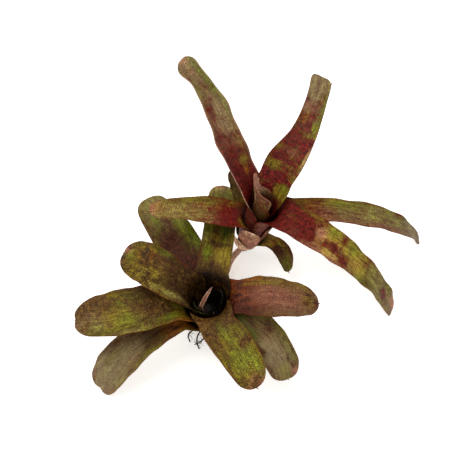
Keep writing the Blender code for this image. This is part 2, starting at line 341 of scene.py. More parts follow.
def smooth_step(value: np.ndarray | float) -> np.ndarray:
    """0 below 0, 1 above 1, with level ends between."""
    t = np.clip(value, 0.0, 1.0)
    return t * t * (3.0 - 2.0 * t)


def along(values: Values, share: np.ndarray | float) -> np.ndarray:
    """Reads a smooth curve through evenly spaced values.

    Args:
        values: the values, from share 0 to share 1.
        share: where to read the curve.

    Returns:
        The curve's value at each share.
    """
    knots = np.asarray(values, float)
    count = len(knots) - 1
    place = np.clip(share, 0.0, 1.0) * count
    first = np.minimum(place.astype(int), count - 1)
    t = place - first
    slopes = np.gradient(knots) if count > 1 else np.full(2, knots[1] - knots[0])
    low, high = knots[first], knots[first + 1]
    return (
        low * (1 + 2 * t) * (1 - t) ** 2
        + high * t**2 * (3 - 2 * t)
        + slopes[first] * t * (1 - t) ** 2
        - slopes[first + 1] * t**2 * (1 - t)
    )


def bowl_reach(pitch: float) -> float:
    """How far a sheath moves out while its pitch settles, for a settling length of 1 mm."""
    x = np.arange(0.0, 12.0, 0.01)
    angle = np.radians(pitch - (pitch - SHEATH_START_PITCH) * np.exp(-x))
    return float(np.sum(np.cos(angle) - math.cos(math.radians(pitch))) * 0.01)


@dataclass(frozen=True)
class Mesh:
    """Vertices, faces and the painted values of a piece under construction."""

    points: np.ndarray
    faces: list[tuple[int, ...]]
    paint: dict[str, np.ndarray]

    @staticmethod
    def joined(parts: "list[Mesh]") -> "Mesh":
        """One mesh of several, each with the same painted values."""
        starts = np.cumsum([0] + [len(part.points) for part in parts])
        faces = [
            tuple(int(corner + start) for corner in face)
            for part, start in zip(parts, starts)
            for face in part.faces
        ]
        paint = {
            name: np.concatenate([part.paint[name] for part in parts]) for name in parts[0].paint
        }
        return Mesh(np.concatenate([part.points for part in parts]), faces, paint)


def grid_faces(rows: int, columns: int, start: int = 0, flip: bool = False) -> list[tuple[int, ...]]:
    """Quads of a sheet of vertices stored row by row.

    Args:
        rows: how many rows of vertices there are.
        columns: how many vertices a row has.
        start: the first vertex's number.
        flip: whether the faces look the other way.

    Returns:
        The quads.
    """
    row, column = np.mgrid[0 : rows - 1, 0 : columns - 1]
    corner = (start + row * columns + column).ravel()
    quads = np.stack([corner, corner + columns, corner + columns + 1, corner + 1], axis=1)
    if flip:
        quads = quads[:, ::-1]
    return [tuple(quad) for quad in quads.tolist()]


def ring_faces(rings: int, sides: int) -> list[tuple[int, ...]]:
    """Quads round a closed tube whose vertices are stored ring by ring, with both its ends."""
    faces = []
    for ring in range(rings - 1):
        for step in range(sides):
            first, second = ring * sides + step, ring * sides + (step + 1) % sides
            faces.append((first, second, second + sides, first + sides))
    faces.append(tuple(range(sides))[::-1])
    faces.append(tuple(range((rings - 1) * sides, rings * sides)))
    return faces


def rim_faces(rows: int, columns: int, flip: bool = False) -> list[tuple[int, ...]]:
    """Quads that join the rims of two equal sheets, the second stored after the first."""
    loop = list(range(columns)) + [row * columns + columns - 1 for row in range(1, rows)]
    loop += [(rows - 1) * columns + column for column in range(columns - 2, -1, -1)]
    loop += [row * columns for row in range(rows - 2, 0, -1)]
    below = rows * columns
    pairs = zip(loop, loop[1:] + loop[:1])
    quads = [(first, second, second + below, first + below) for first, second in pairs]
    return [(b, a, d, c) for a, b, c, d in quads] if flip else quads


def make_piece(name: str, mesh: Mesh, matrix: Matrix, material: bpy.types.Material) -> bpy.types.Object:
    """Makes an object of a mesh, with its painted values as vertex attributes.

    Args:
        name: the piece's name.
        mesh: its vertices in millimetres in the rosette's or the row's frame.
        matrix: where that frame stands.
        material: the piece's material.

    Returns:
        The linked object, its vertices in metres in the row's frame.
    """
    data = bpy.data.meshes.new(name)
    place = np.array(matrix)
    points = mesh.points * MM @ place[:3, :3].T + place[:3, 3]
    points[:, 2] = np.maximum(points[:, 2], FLOOR_HEIGHT)
    data.from_pydata(points.tolist(), [], mesh.faces)
    for key, values in mesh.paint.items():
        wide = values.ndim == 2
        kind = ("FLOAT_COLOR" if key == "tone" else "FLOAT_VECTOR") if wide else "FLOAT"
        layer = data.attributes.new(key, kind, "POINT")
        if key == "tone":
            values = np.concatenate([values, np.ones((len(values), 1))], axis=1)
        slot_name = {"FLOAT_COLOR": "color", "FLOAT_VECTOR": "vector", "FLOAT": "value"}[kind]
        layer.data.foreach_set(slot_name, values.astype(np.float32).ravel())
    data.shade_smooth()
    data.set_sharp_from_angle(angle=math.radians(SHARP_ANGLE))
    data.materials.append(material)
    made = bpy.data.objects.new(name, data)
    bpy.context.scene.collection.objects.link(made)
    return made


def settle(piece: bpy.types.Object, node: str) -> None:
    """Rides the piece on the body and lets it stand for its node."""
    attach(piece, BODY)
    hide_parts(node)
    LOG.info("%s stands for %s: %d vertices", piece.name, node, len(piece.data.vertices))


def tube(path: np.ndarray, radii: np.ndarray, sides: int, tone: np.ndarray, seed: float) -> Mesh:
    """A closed tube along a path.

    Args:
        path: the points of its middle line.
        radii: its radius at each point, or at each point and side.
        sides: how many vertices go round it.
        tone: its linear colour at each point.
        seed: where its texture starts.

    Returns:
        The tube with its place and tone painted.
    """
    count = len(path)
    way = np.gradient(path, axis=0)
    way /= np.linalg.norm(way, axis=1, keepdims=True)
    first = np.cross(way[0], (0.0, 0.0, 1.0) if abs(way[0][2]) < 0.9 else (1.0, 0.0, 0.0))
    side = np.zeros_like(path)
    for index in range(count):
        first = first - way[index] * (first @ way[index])
        first /= np.linalg.norm(first)
        side[index] = first
    other = np.cross(way, side)
    angle = np.linspace(0.0, 2 * math.pi, sides, endpoint=False)
    radii = np.asarray(radii, float)
    if radii.ndim == 1:
        radii = np.repeat(radii[:, None], sides, axis=1)
    ring = side[:, None] * np.cos(angle)[None, :, None] + other[:, None] * np.sin(angle)[None, :, None]
    points = (path[:, None] + ring * radii[..., None]).reshape(-1, 3)
    length = np.concatenate([[0.0], np.cumsum(np.linalg.norm(np.diff(path, axis=0), axis=1))])
    place = np.stack(
        [
            np.repeat(length, sides),
            np.tile(np.sin(angle), count) * radii.mean() * 1.6,
            seed + np.tile(np.cos(angle), count) * radii.mean() * 1.6,
        ],
        axis=1,
    )
    paint = {"place": place, "tone": np.repeat(tone, sides, axis=0)}
    return Mesh(points, ring_faces(count, sides), paint)


def smooth_path(points: tuple[Values, ...], count: int) -> np.ndarray:
    """A smooth curve through points, with its slope at each set by its neighbours.

    Args:
        points: the points that it passes through.
        count: how many points to return.

    Returns:
        Points along the curve.
    """
    knots = np.asarray(points, float)
    gaps = np.linalg.norm(np.diff(knots, axis=0), axis=1)
    place = np.concatenate([[0.0], np.cumsum(gaps)])
    slopes = np.gradient(knots, place, axis=0)
    at = np.linspace(0.0, place[-1], count)
    first = np.clip(np.searchsorted(place, at, side="right") - 1, 0, len(gaps) - 1)
    gap = gaps[first][:, None]
    t = ((at - place[first]) / gaps[first])[:, None]
    return (
        knots[first] * (1 + 2 * t) * (1 - t) ** 2
        + knots[first + 1] * t**2 * (3 - 2 * t)
        + slopes[first] * gap * t * (1 - t) ** 2
        - slopes[first + 1] * gap * t**2 * (1 - t)
    )


@dataclass(frozen=True)
class Leaf:
    """One leaf: its growth, as in the part's source, its fine form and its skin.

    shift is how far the blade's middle lies to the left of its midline.
    """

    name: str
    tier: int
    heading: float
    sheath: float
    blade: float
    climb: Values
    half_width: Values
    turn: Values = (0.0, 0.0)
    roll: Values = (0.0, 0.0)
    shift: Values = (0.0, 0.0)
    wrap: float = 72.0
    channel: float = 2.0
    rests: bool = False
    toothed: bool = True
    form: Form = Form()
    skin: Skin = Skin(bands=(Band(0.0, Tint.OLIVE), Band(1.0, Tint.OLIVE)))

    @property
    def seed(self) -> float:
        """A number of the leaf's own, which keeps its texture unlike its neighbours'."""
        return float(sum(ord(letter) * (place + 3) for place, letter in enumerate(self.name)) % 97)

    def midline(self, rosette: Rosette, droop: float) -> dict[str, np.ndarray]:
        """The leaf's midline in the rosette's own frame.

        Args:
            rosette: the rosette that the leaf sits in.
            droop: an extra fall of the pitch towards the tip.

        Returns:
            Length, radius, plan place, height, pitch and heading at fine steps.
        """
        total = self.sheath + self.blade + MUCRO_LENGTH
        s = np.arange(0.0, total + MIDLINE_STEP, MIDLINE_STEP)
        upright = SHEATH_PITCH - SHEATH_PITCH_PER_TIER * self.tier
        start_radius = rosette.stem_radius + CLEARANCE + 0.2
        spread = rosette.heart_radius + rosette.tier_spread * self.tier - start_radius
        settling = spread / bowl_reach(upright)
        sheath_pitch = upright - (upright - SHEATH_START_PITCH) * np.exp(-s / settling)
        share = (s - self.sheath) / self.blade
        blade_pitch = along(self.climb, share) - droop * np.clip(share, 0.0, 1.0)
        bend = smooth_step((s - self.sheath + BEND_LENGTH / 2) / BEND_LENGTH)
        pitch = np.radians(sheath_pitch * (1 - bend) + blade_pitch * bend)
        turn = along(self.turn, share) * smooth_step(share * self.blade / BEND_LENGTH)
        heading = np.radians(self.heading + turn)
        steps = np.diff(s, prepend=0.0)
        middle_pitch = (pitch + np.roll(pitch, 1)) / 2
        middle_pitch[0] = pitch[0]
        middle_heading = (heading + np.roll(heading, 1)) / 2
        middle_heading[0] = heading[0]
        out = np.cos(middle_pitch) * steps
        insertion = rosette.crown_height - rosette.tier_drop * self.tier
        return {
            "s": s,
            "radius": start_radius + np.cumsum(out),
            "x": start_radius * math.cos(heading[0]) + np.cumsum(out * np.cos(middle_heading)),
            "y": start_radius * math.sin(heading[0]) + np.cumsum(out * np.sin(middle_heading)),
            "height": insertion + np.cumsum(np.sin(middle_pitch) * steps),
            "pitch": pitch,
            "heading": heading,
        }

    def half_width_at(self, s: np.ndarray, radius: np.ndarray, side: np.ndarray) -> np.ndarray:
        """Half the leaf's width: the clasping sheath, then the blade with its own margins."""
        share = (s - self.sheath) / self.blade
        blade = along(self.half_width, share)
        free = smooth_step(share * 4)
        blade = blade + free * np.where(
            side > 0, along(self.form.left, share), along(self.form.right, share)
        )
        sheath = radius * math.radians(self.wrap)
        near_blade = smooth_step((s / self.sheath - BLADE_WIDTH_FROM) / BLADE_WIDTH_OVER)
        return sheath * (1 - near_blade) + blade * near_blade

    def tip_length(self) -> float:
        """How long the rounding of the tip is."""
        return TIP_LENGTH * self.half_width[-1]

    def reach(self, rows: np.ndarray, columns: np.ndarray) -> np.ndarray:
        """Length along the leaf of each grid point, drawn back near the tip to shape its end."""
        end = self.sheath + self.blade
        length = self.tip_length()
        span = max(3.2 * length, 24.0)
        near_tip = smooth_step((rows - end + span) / span)
        power = self.form.tip_power
        inner = np.clip(1 - np.abs(columns) ** power, 0.0, 1.0)
        back = length * (1 - inner ** (1 / TIP_FULLNESS))
        back = back + self.form.slant * (1 + columns) / 2
        back = back + self.form.notch * np.exp(-((columns / 0.28) ** 2))
        return rows - near_tip * back

    def surface(self, rosette: Rosette, rows: np.ndarray, columns: np.ndarray, droop: float) -> dict:
        """The leaf's middle surface as a grid.

        Args:
            rosette: the rosette that the leaf sits in.
            rows: lengths along the leaf.
            columns: places across it, from -1 on the right to 1 on the left.
            droop: an extra fall of the pitch towards the tip.

        Returns:
            The points, and the length, share, place across, half width and column of each.
        """
        line = self.midline(rosette, droop)
        rows, columns = np.broadcast_arrays(rows[:, None], columns[None, :])
        s = self.reach(rows, columns)
        radius, height, plan_x, plan_y, pitch, heading = (
            np.interp(s, line["s"], line[key])
            for key in ("radius", "height", "x", "y", "pitch", "heading")
        )
        share = (s - self.sheath) / self.blade
        half = self.half_width_at(s, radius, columns)
        across = columns * half + along(self.shift, share)
        round_axis = np.maximum(radius, TIGHTEST_RADIUS)
        middle = math.radians(self.heading)
        around = middle + across / round_axis
        clasping = np.stack(
            [
                plan_x + round_axis * (np.cos(around) - math.cos(middle)),
                plan_y + round_axis * (np.sin(around) - math.sin(middle)),
                height,
            ],
            axis=-1,
        )
        trough = 2 * self.channel / max(self.half_width) ** 2
        grown = smooth_step(share * CHANNEL_RATE)
        curve = np.maximum(np.sin(pitch), 0.0) / round_axis + trough * grown + 1e-6
        sideways = np.sin(curve * across) / curve
        up = (1 - np.cos(curve * across)) / curve + self.relief(share, columns)
        roll = np.radians(along(self.roll, share)) * grown
        level = np.stack([-np.sin(heading), np.cos(heading), 0 * heading], axis=-1)
        upward = np.stack(
            [-np.sin(pitch) * np.cos(heading), -np.sin(pitch) * np.sin(heading), np.cos(pitch)],
            axis=-1,
        )
        turned_side = level * np.cos(roll)[..., None] + upward * np.sin(roll)[..., None]
        turned_up = upward * np.cos(roll)[..., None] - level * np.sin(roll)[..., None]
        centre = np.stack([plan_x, plan_y, height], axis=-1)
        free = centre + turned_side * sideways[..., None] + turned_up * up[..., None]
        opened = smooth_step((s - self.sheath + BEND_LENGTH / 2) / FLATTEN_LENGTH)[..., None]
        points = clasping * (1 - opened) + free * opened
        return {"points": points, "s": s, "share": share, "across": across, "half": half, "c": columns}

    def relief(self, share: np.ndarray, columns: np.ndarray) -> np.ndarray:
        """How far the face rises or dips: the waved margins, the middle crease and the crimps."""
        form = self.form
        free = smooth_step(share * CHANNEL_RATE)
        phase = self.seed + 1.9 * (columns > 0)
        wave = np.sin(2 * math.pi * form.waves * share + phase)
        wave = wave + 0.5 * np.sin(2 * math.pi * form.waves * 1.7 * share + 2.3 * phase)
        lift = form.ripple * np.abs(columns) ** 2.5 * wave
        lift = lift - form.crease * np.exp(-((columns / 0.1) ** 2))
        for crimp in form.crimps:
            place = (share - crimp.at - crimp.bow * columns**2) / crimp.width
            reach = smooth_step(0.5 + crimp.side * columns * 1.4) if crimp.side else 1.0
            trough = CRIMP_TROUGH * np.exp(-((place - CRIMP_TROUGH_AT) ** 2))
            lift = lift + crimp.depth * (np.exp(-(place**2)) - trough) * reach
        return lift * free

    def droop_to_rest(self, rosette: Rosette, rows: np.ndarray, columns: np.ndarray) -> float:
        """The extra droop with which the leaf's lowest point just meets the ground."""
        if not self.rests:
            return 0.0
        place = np.array(rosette.matrix())
        low, high = -60.0, 60.0
        for _ in range(30):
            droop = (low + high) / 2
            points = self.surface(rosette, rows, columns, droop)["points"] * MM
            lowest = (points @ place[2, :3] + place[2, 3]).min()
            if lowest < BLADE_THICKNESS * MM:
                high = droop
            else:
                low = droop
        return low

    def tone(self, share: np.ndarray, columns: np.ndarray, upper: bool) -> np.ndarray:
        """The ground colour of each point, from the bands and, below the blade, the sheath: on the upper face
        its inner tint, for most leaves a dark painted shade that darkens the leaf into its cup, and on the
        underside its outer colour.
        """
        bands = self.skin.bands
        at = np.array([band.at for band in bands])
        sides = np.array([band.across() for band in bands])
        place = np.clip(share, at[0], at[-1])
        index = np.clip(np.searchsorted(at, place, side="right") - 1, 0, len(bands) - 2)
        t = smooth_step((place - at[index]) / (at[index + 1] - at[index]))[..., None, None]
        row = sides[index] * (1 - t) + sides[index + 1] * t
        rim = (np.abs(columns) ** SIDE_TINT_POWER)[..., None]
        edge = np.where((columns > 0)[..., None], row[..., 0, :], row[..., 2, :])
        colour = row[..., 1, :] * (1 - rim) + edge * rim
        for mark in self.skin.marks:
            if mark.tint:
                weight = mark.weight(share, columns)[..., None] * MARK_STRENGTH
                colour = colour * (1 - weight) + np.array(mark.tint.linear()) * weight
        if not upper:
            colour = colour * (1 - UNDERSIDE_SAGE) + np.array(Tint.SAGE.linear()) * UNDERSIDE_SAGE
        # Painted shade: below the blade the upper face fades to the sheath's inner tint, dark for most
        # leaves, standing for the shade down in the cup
        sheath = np.array((self.skin.inner if upper else self.skin.outer).linear())
        below = smooth_step((SHEATH_TINT_END - share * self.blade) / SHEATH_TINT_OVER)[..., None]
        return colour * (1 - below) + sheath * below

    def side(self, grid: dict, thick: np.ndarray, upper: bool) -> Mesh:
        """One face of the leaf, with everything that its material reads painted on it."""
        sign = 1.0 if upper else -1.0
        share, columns = grid["share"], grid["c"]
        points = (grid["points"] + grid["normal"] * thick[..., None] * sign / 2).reshape(-1, 3)
        to_tip = np.maximum(self.sheath + self.blade - grid["s"], 0.0)
        edge = np.minimum(grid["half"] * (1 - np.abs(columns)), to_tip + self.tip_length() * TIP_MARGIN)
        free = smooth_step(share * MARGIN_RATE)
        red = along(self.skin.red, share) + sum(
            mark.red * mark.weight(share, columns) for mark in self.skin.marks
        )
        place = np.stack([grid["s"], grid["across"], np.full_like(share, self.seed)], axis=-1)
        paint = {
            "place": place.reshape(-1, 3),
            "tone": self.tone(share, columns, upper).reshape(-1, 3),
            "red": red.ravel(),
            "grey": along(self.skin.grey, share).ravel() * (1.0 if upper else UNDERSIDE_GREY),
            "margin": (np.exp(-edge / MARGIN_WIDTH) * free).ravel() * MARGIN_STRENGTH,
            "face": np.full(share.size, 1.0 if upper or not self.toothed else 0.0),
        }
        return Mesh(points, grid_faces(*share.shape, flip=not upper), paint)

    def fine_grid(self, rosette: Rosette) -> dict:
        """The leaf's middle surface at its full fineness, with its normals."""
        lower = self.sheath * np.linspace(0.0, 1.0, SHEATH_ROW_COUNT, endpoint=False)
        upper = self.sheath + self.blade * np.sin(np.linspace(0.0, math.pi / 2, BLADE_ROW_COUNT))
        rows = np.concatenate([lower, upper])
        columns = np.sin(np.linspace(-math.pi / 2, math.pi / 2, COLUMN_COUNT))
        droop = self.droop_to_rest(rosette, rows[::4], columns[::4])
        grid = self.surface(rosette, rows, columns, droop)
        lengthwise = np.gradient(grid["points"], axis=0)
        crosswise = np.gradient(grid["points"], axis=1)
        normal = np.cross(lengthwise, crosswise)
        normal /= np.maximum(np.linalg.norm(normal, axis=-1, keepdims=True), 1e-9)
        grid["normal"] = normal
        return grid

    def placed(self, spot: Spot, pixels: np.ndarray, grid: dict) -> Mark:
        """The mark that a spot of the photograph makes on this leaf.

        Args:
            spot: the spot.
            pixels: u and v at which each point of the grid is seen.
            grid: the leaf's fine grid.

        Returns:
            The mark, by its share of the blade's length and width.
        """
        share, columns = grid["share"], grid["c"]
        away = np.hypot(pixels[..., 0] - spot.u, pixels[..., 1] - spot.v).ravel()
        nearest = away.argsort()[:SPOT_POINTS]
        weight = 1 / (away[nearest] + SPOT_NEAREST)
        weight /= weight.sum()
        at, across = (float(values.ravel()[nearest] @ weight) for values in (share, columns))
        middle = columns.shape[1] // 2
        margin = SPOT_ROWS + 1
        row = int(np.clip(np.abs(share[:, middle] - at).argmin(), margin, len(share) - 1 - margin))
        before, after = row - SPOT_ROWS, row + SPOT_ROWS
        length = np.linalg.norm(pixels[after, middle] - pixels[before, middle])
        half = np.linalg.norm(pixels[row, 0] - pixels[row, -1]) / 2
        return Mark(
            round(at, 2),
            round(across, 1),
            round(float(spot.along * (share[after, middle] - share[before, middle]) / length), 2),
            round(float(spot.across / half), 1),
            spot.tint,
            spot.red,
        )

    def with_marks(self, rosette: Rosette, grid: dict) -> "Leaf":
        """The same leaf, with each spot of its skin turned into a mark on its blade."""
        place = np.array(rosette.matrix())
        pixels = PHOTO.pixels(grid["points"] @ place[:3, :3].T + place[:3, 3] / MM)
        marks = tuple(
            self.placed(mark, pixels, grid) if isinstance(mark, Spot) else mark
            for mark in self.skin.marks
        )
        return replace(self, skin=replace(self.skin, marks=marks))

    def blade_mesh(self, grid: dict) -> Mesh:
        """The leaf's closed blade."""
        full = smooth_step(grid["share"] * BODY_RATE)
        body = BLADE_THICKNESS * full + SHEATH_THICKNESS * (1 - full)
        edge = grid["half"] * (1 - np.abs(grid["c"]))
        thick = MARGIN_THICKNESS + (body - MARGIN_THICKNESS) * (1 - np.exp(-edge / THINNING))
        sides = Mesh.joined([self.side(grid, thick, True), self.side(grid, thick, False)])
        sides.faces.extend(rim_faces(*grid["share"].shape))
        return sides

    def margin_line(self, grid: dict, column: int) -> dict[str, np.ndarray]:
        """The margin of one side as points, outward and forward directions and normals."""
        points = grid["points"][:, column]
        inward = grid["points"][:, 2 if column == 0 else -3] - points
        inward /= np.maximum(np.linalg.norm(inward, axis=1, keepdims=True), 1e-9)
        forward = np.gradient(points, axis=0)
        forward /= np.maximum(np.linalg.norm(forward, axis=1, keepdims=True), 1e-9)
        length = np.concatenate([[0.0], np.cumsum(np.linalg.norm(np.diff(points, axis=0), axis=1))])
        return {
            "points": points,
            "out": -inward,
            "forward": forward,
            "normal": grid["normal"][:, column],
            "length": length,
            "share": grid["share"][:, column],
        }

    def teeth(self, grid: dict) -> list[Mesh]:
        """The small forward-pointing teeth along both margins."""
        chance = np.random.default_rng(int(self.seed) + 5)
        made = []
        for column in (0, -1):
            line = self.margin_line(grid, column)
            start = np.interp(TEETH_FROM_SHARE, line["share"], line["length"])
            places = np.arange(start, line["length"][-1] - TEETH_END_BEFORE, TOOTH_SPACING)
            places = places + chance.uniform(-TOOTH_WANDER, TOOTH_WANDER, len(places))
            sizes = chance.uniform(*TOOTH_SIZES, len(places))
            for at, size in zip(places, sizes):
                made.append(self.tooth(line, at, size, column, grid))
        return made

    def tooth(self, line: dict, at: float, size: float, column: int, grid: dict) -> Mesh:
        """One tooth: a small closed pyramid that starts inside the margin."""
        foot, out, forward, normal = (
            np.array([np.interp(at, line["length"], line[key][:, axis]) for axis in range(3)])
            for key in ("points", "out", "forward", "normal")
        )
        inside = foot - out * TOOTH_ROOT
        half = TOOTH_WIDTH / 2 * size
        tip = foot + (out * 0.8 + forward * 0.6) * TOOTH_LENGTH * size + normal * 0.1
        points = np.array(
            [
                inside - forward * half,
                inside + normal * TOOTH_DEPTH,
                inside + forward * half,
                inside - normal * TOOTH_DEPTH,
                tip,
            ]
        )
        faces = [(0, 4, 1), (1, 4, 2), (2, 4, 3), (3, 4, 0), (0, 1, 2, 3)]
        # The last column's margin mirrors the first one's, so its faces turn the other way round
        if column:
            faces = [face[::-1] for face in faces]
        share = float(np.interp(at, line["length"], line["share"]))
        return self.spine_mesh(points, faces, share, 1.0 if column else -1.0)

    def spine_mesh(self, points: np.ndarray, faces: list, share: float, side: float) -> Mesh:
        """A tooth or the mucro, painted as margin."""
        count = len(points)
        shares, sides = np.full(count, share), np.full(count, side)
        place = np.stack([shares * self.blade, sides * 5, np.full(count, self.seed)], axis=1)
        paint = {
            "place": place,
            "tone": self.tone(shares, sides, True),
            "red": np.zeros(count),
            "grey": np.zeros(count),
            "margin": np.ones(count),
            "face": np.ones(count),
        }
        return Mesh(points, faces, paint)

    def mucro(self, grid: dict) -> Mesh:
        """The short hard point at the tip, bent to one side."""
        column = int(np.argmin(np.abs(grid["c"][0] - self.form.mucro_at)))
        end, before = grid["points"][-1, column], grid["points"][-4, column]
        way = (end - before) / max(np.linalg.norm(end - before), 1e-9)
        normal = grid["normal"][-2, column]
        side = np.cross(normal, way)
        bend = math.radians(self.form.mucro_bend)
        rings, sides = 7, 8
        points = []
        for ring in range(rings):
            share = ring / (rings - 1)
            turn = bend * share
            ahead = way * math.cos(turn) + side * math.sin(turn)
            middle = end - way * 0.8 + ahead * (MUCRO_LENGTH + 0.6) * share - normal * 0.5 * share**2
            radius = 0.55 * (1 - share) ** 0.8 + 0.05
            for step in range(sides):
                angle = 2 * math.pi * step / sides
                points.append(
                    middle + side * radius * math.cos(angle) + normal * radius * 0.6 * math.sin(angle)
                )
        return self.spine_mesh(np.array(points), ring_faces(rings, sides), 1.0, 0.0)

    def build(self, rosette: Rosette, slot: str, finishes: "Finishes") -> bpy.types.Object:
        """Meshes and dresses the leaf.

        Args:
            rosette: the rosette that the leaf sits in.
            slot: the record's slot for its finish; not used.
            finishes: the maker of the materials.

        Returns:
            The finished piece.
        """
        grid = self.fine_grid(rosette)
        marked = self.with_marks(rosette, grid)
        parts = [marked.blade_mesh(grid)]
        if self.toothed:
            parts += marked.teeth(grid)
            parts.append(marked.mucro(grid))
        piece = make_piece(
            f"fine_{self.name}", Mesh.joined(parts), rosette.matrix(), finishes.leaf(self.name, self.skin)
        )
        settle(piece, self.name)
        return piece


@dataclass(frozen=True)
class Pattern:
    """A noise: how finely it repeats along, across and through a leaf, and its detail."""

    scale: Values
    detail: float
    roughness: float = 0.55


@dataclass(frozen=True)
class Contrast:
    """How a noise shades a colour: the span of its values, and the factors at its two ends."""

    low: float
    high: float
    dark: Colour
    light: Colour


class Graph:
    """Builds shader nodes in one tree. A value is a socket, a number or a tuple."""

    def __init__(self, tree: bpy.types.NodeTree) -> None:
        """Keeps the tree that the nodes go into."""
        self.tree = tree

    def node(self, kind: str, **settings: object) -> bpy.types.Node:
        """Adds a node and sets its properties."""
        made = self.tree.nodes.new(kind)
        for name, value in settings.items():
            setattr(made, name, value)
        return made

    def feed(self, socket: bpy.types.NodeSocket, value: object) -> None:
        """Links a socket into another, or sets a plain value on it."""
        if isinstance(value, bpy.types.NodeSocket):
            self.tree.links.new(value, socket)
            return
        if socket.type == "RGBA" and len(value) == 3:
            value = (*value, 1.0)
        socket.default_value = value

    def math(self, operation: str, *values: object) -> bpy.types.NodeSocket:
        """A Math node's result."""
        made = self.node("ShaderNodeMath", operation=operation)
        for socket, value in zip(made.inputs, values):
            self.feed(socket, value)
        return made.outputs[0]

    def vector(self, operation: str, first: object, second: object) -> bpy.types.NodeSocket:
        """A Vector Math node's result."""
        made = self.node("ShaderNodeVectorMath", operation=operation)
        self.feed(made.inputs[0], first)
        self.feed(made.inputs[1], second)
        return made.outputs[0]

    def noise(self, place: object, detail: float, roughness: float = 0.55) -> bpy.types.NodeSocket:
        """Noise at a scale of one, to be read at a place already divided by a size."""
        made = self.node("ShaderNodeTexNoise")
        self.feed(made.inputs["Vector"], place)
        made.inputs["Scale"].default_value = 1.0
        made.inputs["Detail"].default_value = detail
        made.inputs["Roughness"].default_value = roughness
        return made.outputs[0]

    def pattern(self, place: object, pattern: Pattern) -> bpy.types.NodeSocket:
        """A pattern's noise at a place."""
        return self.noise(self.vector("MULTIPLY", place, pattern.scale), pattern.detail, pattern.roughness)

    def ramp(
        self, value: object, low: object, high: object, start: object = 0.0, end: object = 1.0
    ) -> bpy.types.NodeSocket:
        """A smooth step of a value from low to high."""
        made = self.node("ShaderNodeMapRange", interpolation_type="SMOOTHSTEP")
        names = ("Value", "From Min", "From Max", "To Min", "To Max")
        for name, given in zip(names, (value, low, high, start, end)):
            self.feed(made.inputs[name], given)
        return made.outputs[0]

    def blend(
        self, factor: object, first: object, second: object, kind: str = "MIX"
    ) -> bpy.types.NodeSocket:
        """Two colours mixed."""
        made = self.node("ShaderNodeMix", data_type="RGBA", blend_type=kind)
        self.feed(made.inputs[0], factor)
        self.feed(made.inputs[6], first)
        self.feed(made.inputs[7], second)
        return made.outputs[2]

    def tinted(self, colour: object, factors: object, amount: object = 1.0) -> bpy.types.NodeSocket:
        """A colour times a factor for each of its channels."""
        return self.blend(amount, colour, factors, "MULTIPLY")

    def varied(
        self, colour: object, noise: object, contrast: Contrast, amount: object = 1.0
    ) -> bpy.types.NodeSocket:
        """A colour that a noise darkens and lightens."""
        return self.blend(
            self.ramp(noise, contrast.low, contrast.high),
            self.tinted(colour, contrast.dark, amount),
            self.tinted(colour, contrast.light, amount),
        )

    def attribute(self, name: str, output: str = "Fac") -> bpy.types.NodeSocket:
        """A painted value of the mesh."""
        return self.node("ShaderNodeAttribute", attribute_name=name).outputs[output]

    def group(self, tree: bpy.types.NodeTree, **values: object) -> bpy.types.Node:
        """Places a node group. Its inputs are named with _ for each space."""
        made = self.node("ShaderNodeGroup", node_tree=tree)
        for name, value in values.items():
            self.feed(made.inputs[name.replace("_", " ").title()], value)
        return made


SOCKETS = {"float": "NodeSocketFloat", "colour": "NodeSocketColor", "vector": "NodeSocketVector"}


def new_group(name: str, inputs: dict[str, str], outputs: dict[str, str]) -> tuple[Graph, dict, dict]:
    """Starts a shader node group.

    Args:
        name: the group's name.
        inputs: the kind of each named input.
        outputs: the kind of each named output.

    Returns:
        Its graph, its input sockets by name and its output sockets by name.
    """
    tree = bpy.data.node_groups.new(name, "ShaderNodeTree")
    for key, kind in inputs.items():
        tree.interface.new_socket(key, in_out="INPUT", socket_type=SOCKETS[kind])
    for key, kind in outputs.items():
        tree.interface.new_socket(key, in_out="OUTPUT", socket_type=SOCKETS[kind])
    graph = Graph(tree)
    entry = graph.node("NodeGroupInput")
    leaving = graph.node("NodeGroupOutput")
    return (
        graph,
        {key: entry.outputs[key] for key in inputs},
        {key: leaving.inputs[key] for key in outputs},
    )


# The patterns of the skins
BLOTCH_GRAIN = Pattern((1.1, 1.5, 1.0), 2.0, 0.6)
TONES = Pattern((0.12, 0.16, 1.0), 3.0)
STREAKS = Pattern((0.06, 0.6, 2.0), 2.0)
CLOUDS = Pattern((0.3, 0.42, 3.0), 1.0)
CLOTS = Pattern((0.5, 0.34, 5.0), 2.0, 0.65)
SPECKS = Pattern((0.95, 1.4, 1.0), 2.0, 0.6)
GLINTS = Pattern((1.0, 1.6, 4.0), 1.0)
DUST = Pattern((1.6, 2.2, 1.0), 2.0, 0.7)
DUST_PATCHES = Pattern((0.2, 0.1, 2.0), 2.0)
UNDERSIDE_RINGS = Pattern((0.45, 0.05, 3.0), 1.0)

# How they shade the ground, a blotch and the whole skin, and what a glint does to it
GROUND_CONTRAST = Contrast(0.38, 0.62, (0.68, 0.56, 0.56), (1.22, 1.36, 1.12))
CLOT_CONTRAST = Contrast(0.36, 0.64, (0.4, 0.36, 0.4), (1.5, 1.6, 1.5))
CLOUD_CONTRAST = Contrast(0.32, 0.68, (0.8, 0.72, 0.72), (1.2, 1.24, 1.15))
GLINT_FACTORS = (1.9, 1.8, 1.35)

# The span of a pattern's values over which what it draws sets in
SPECK_SPAN = (0.48, 0.58)
GLINT_SPAN = (0.5, 0.68)
DUST_SPAN = (0.36, 0.66)
DUST_PATCH_SPAN = (0.25, 0.62)
RING_SPAN = (0.45, 0.6)
LINE_SPAN = (0.3, 0.7)
MARGIN_SPAN = (0.3, 0.6)

# Blotches: how much their grain moves their edges, how sharply they rise, and how soft they are
BLOTCH_GRAININESS = 0.55
BLOTCH_GAIN = 1.9
BLOTCH_SOFTNESS = 0.26

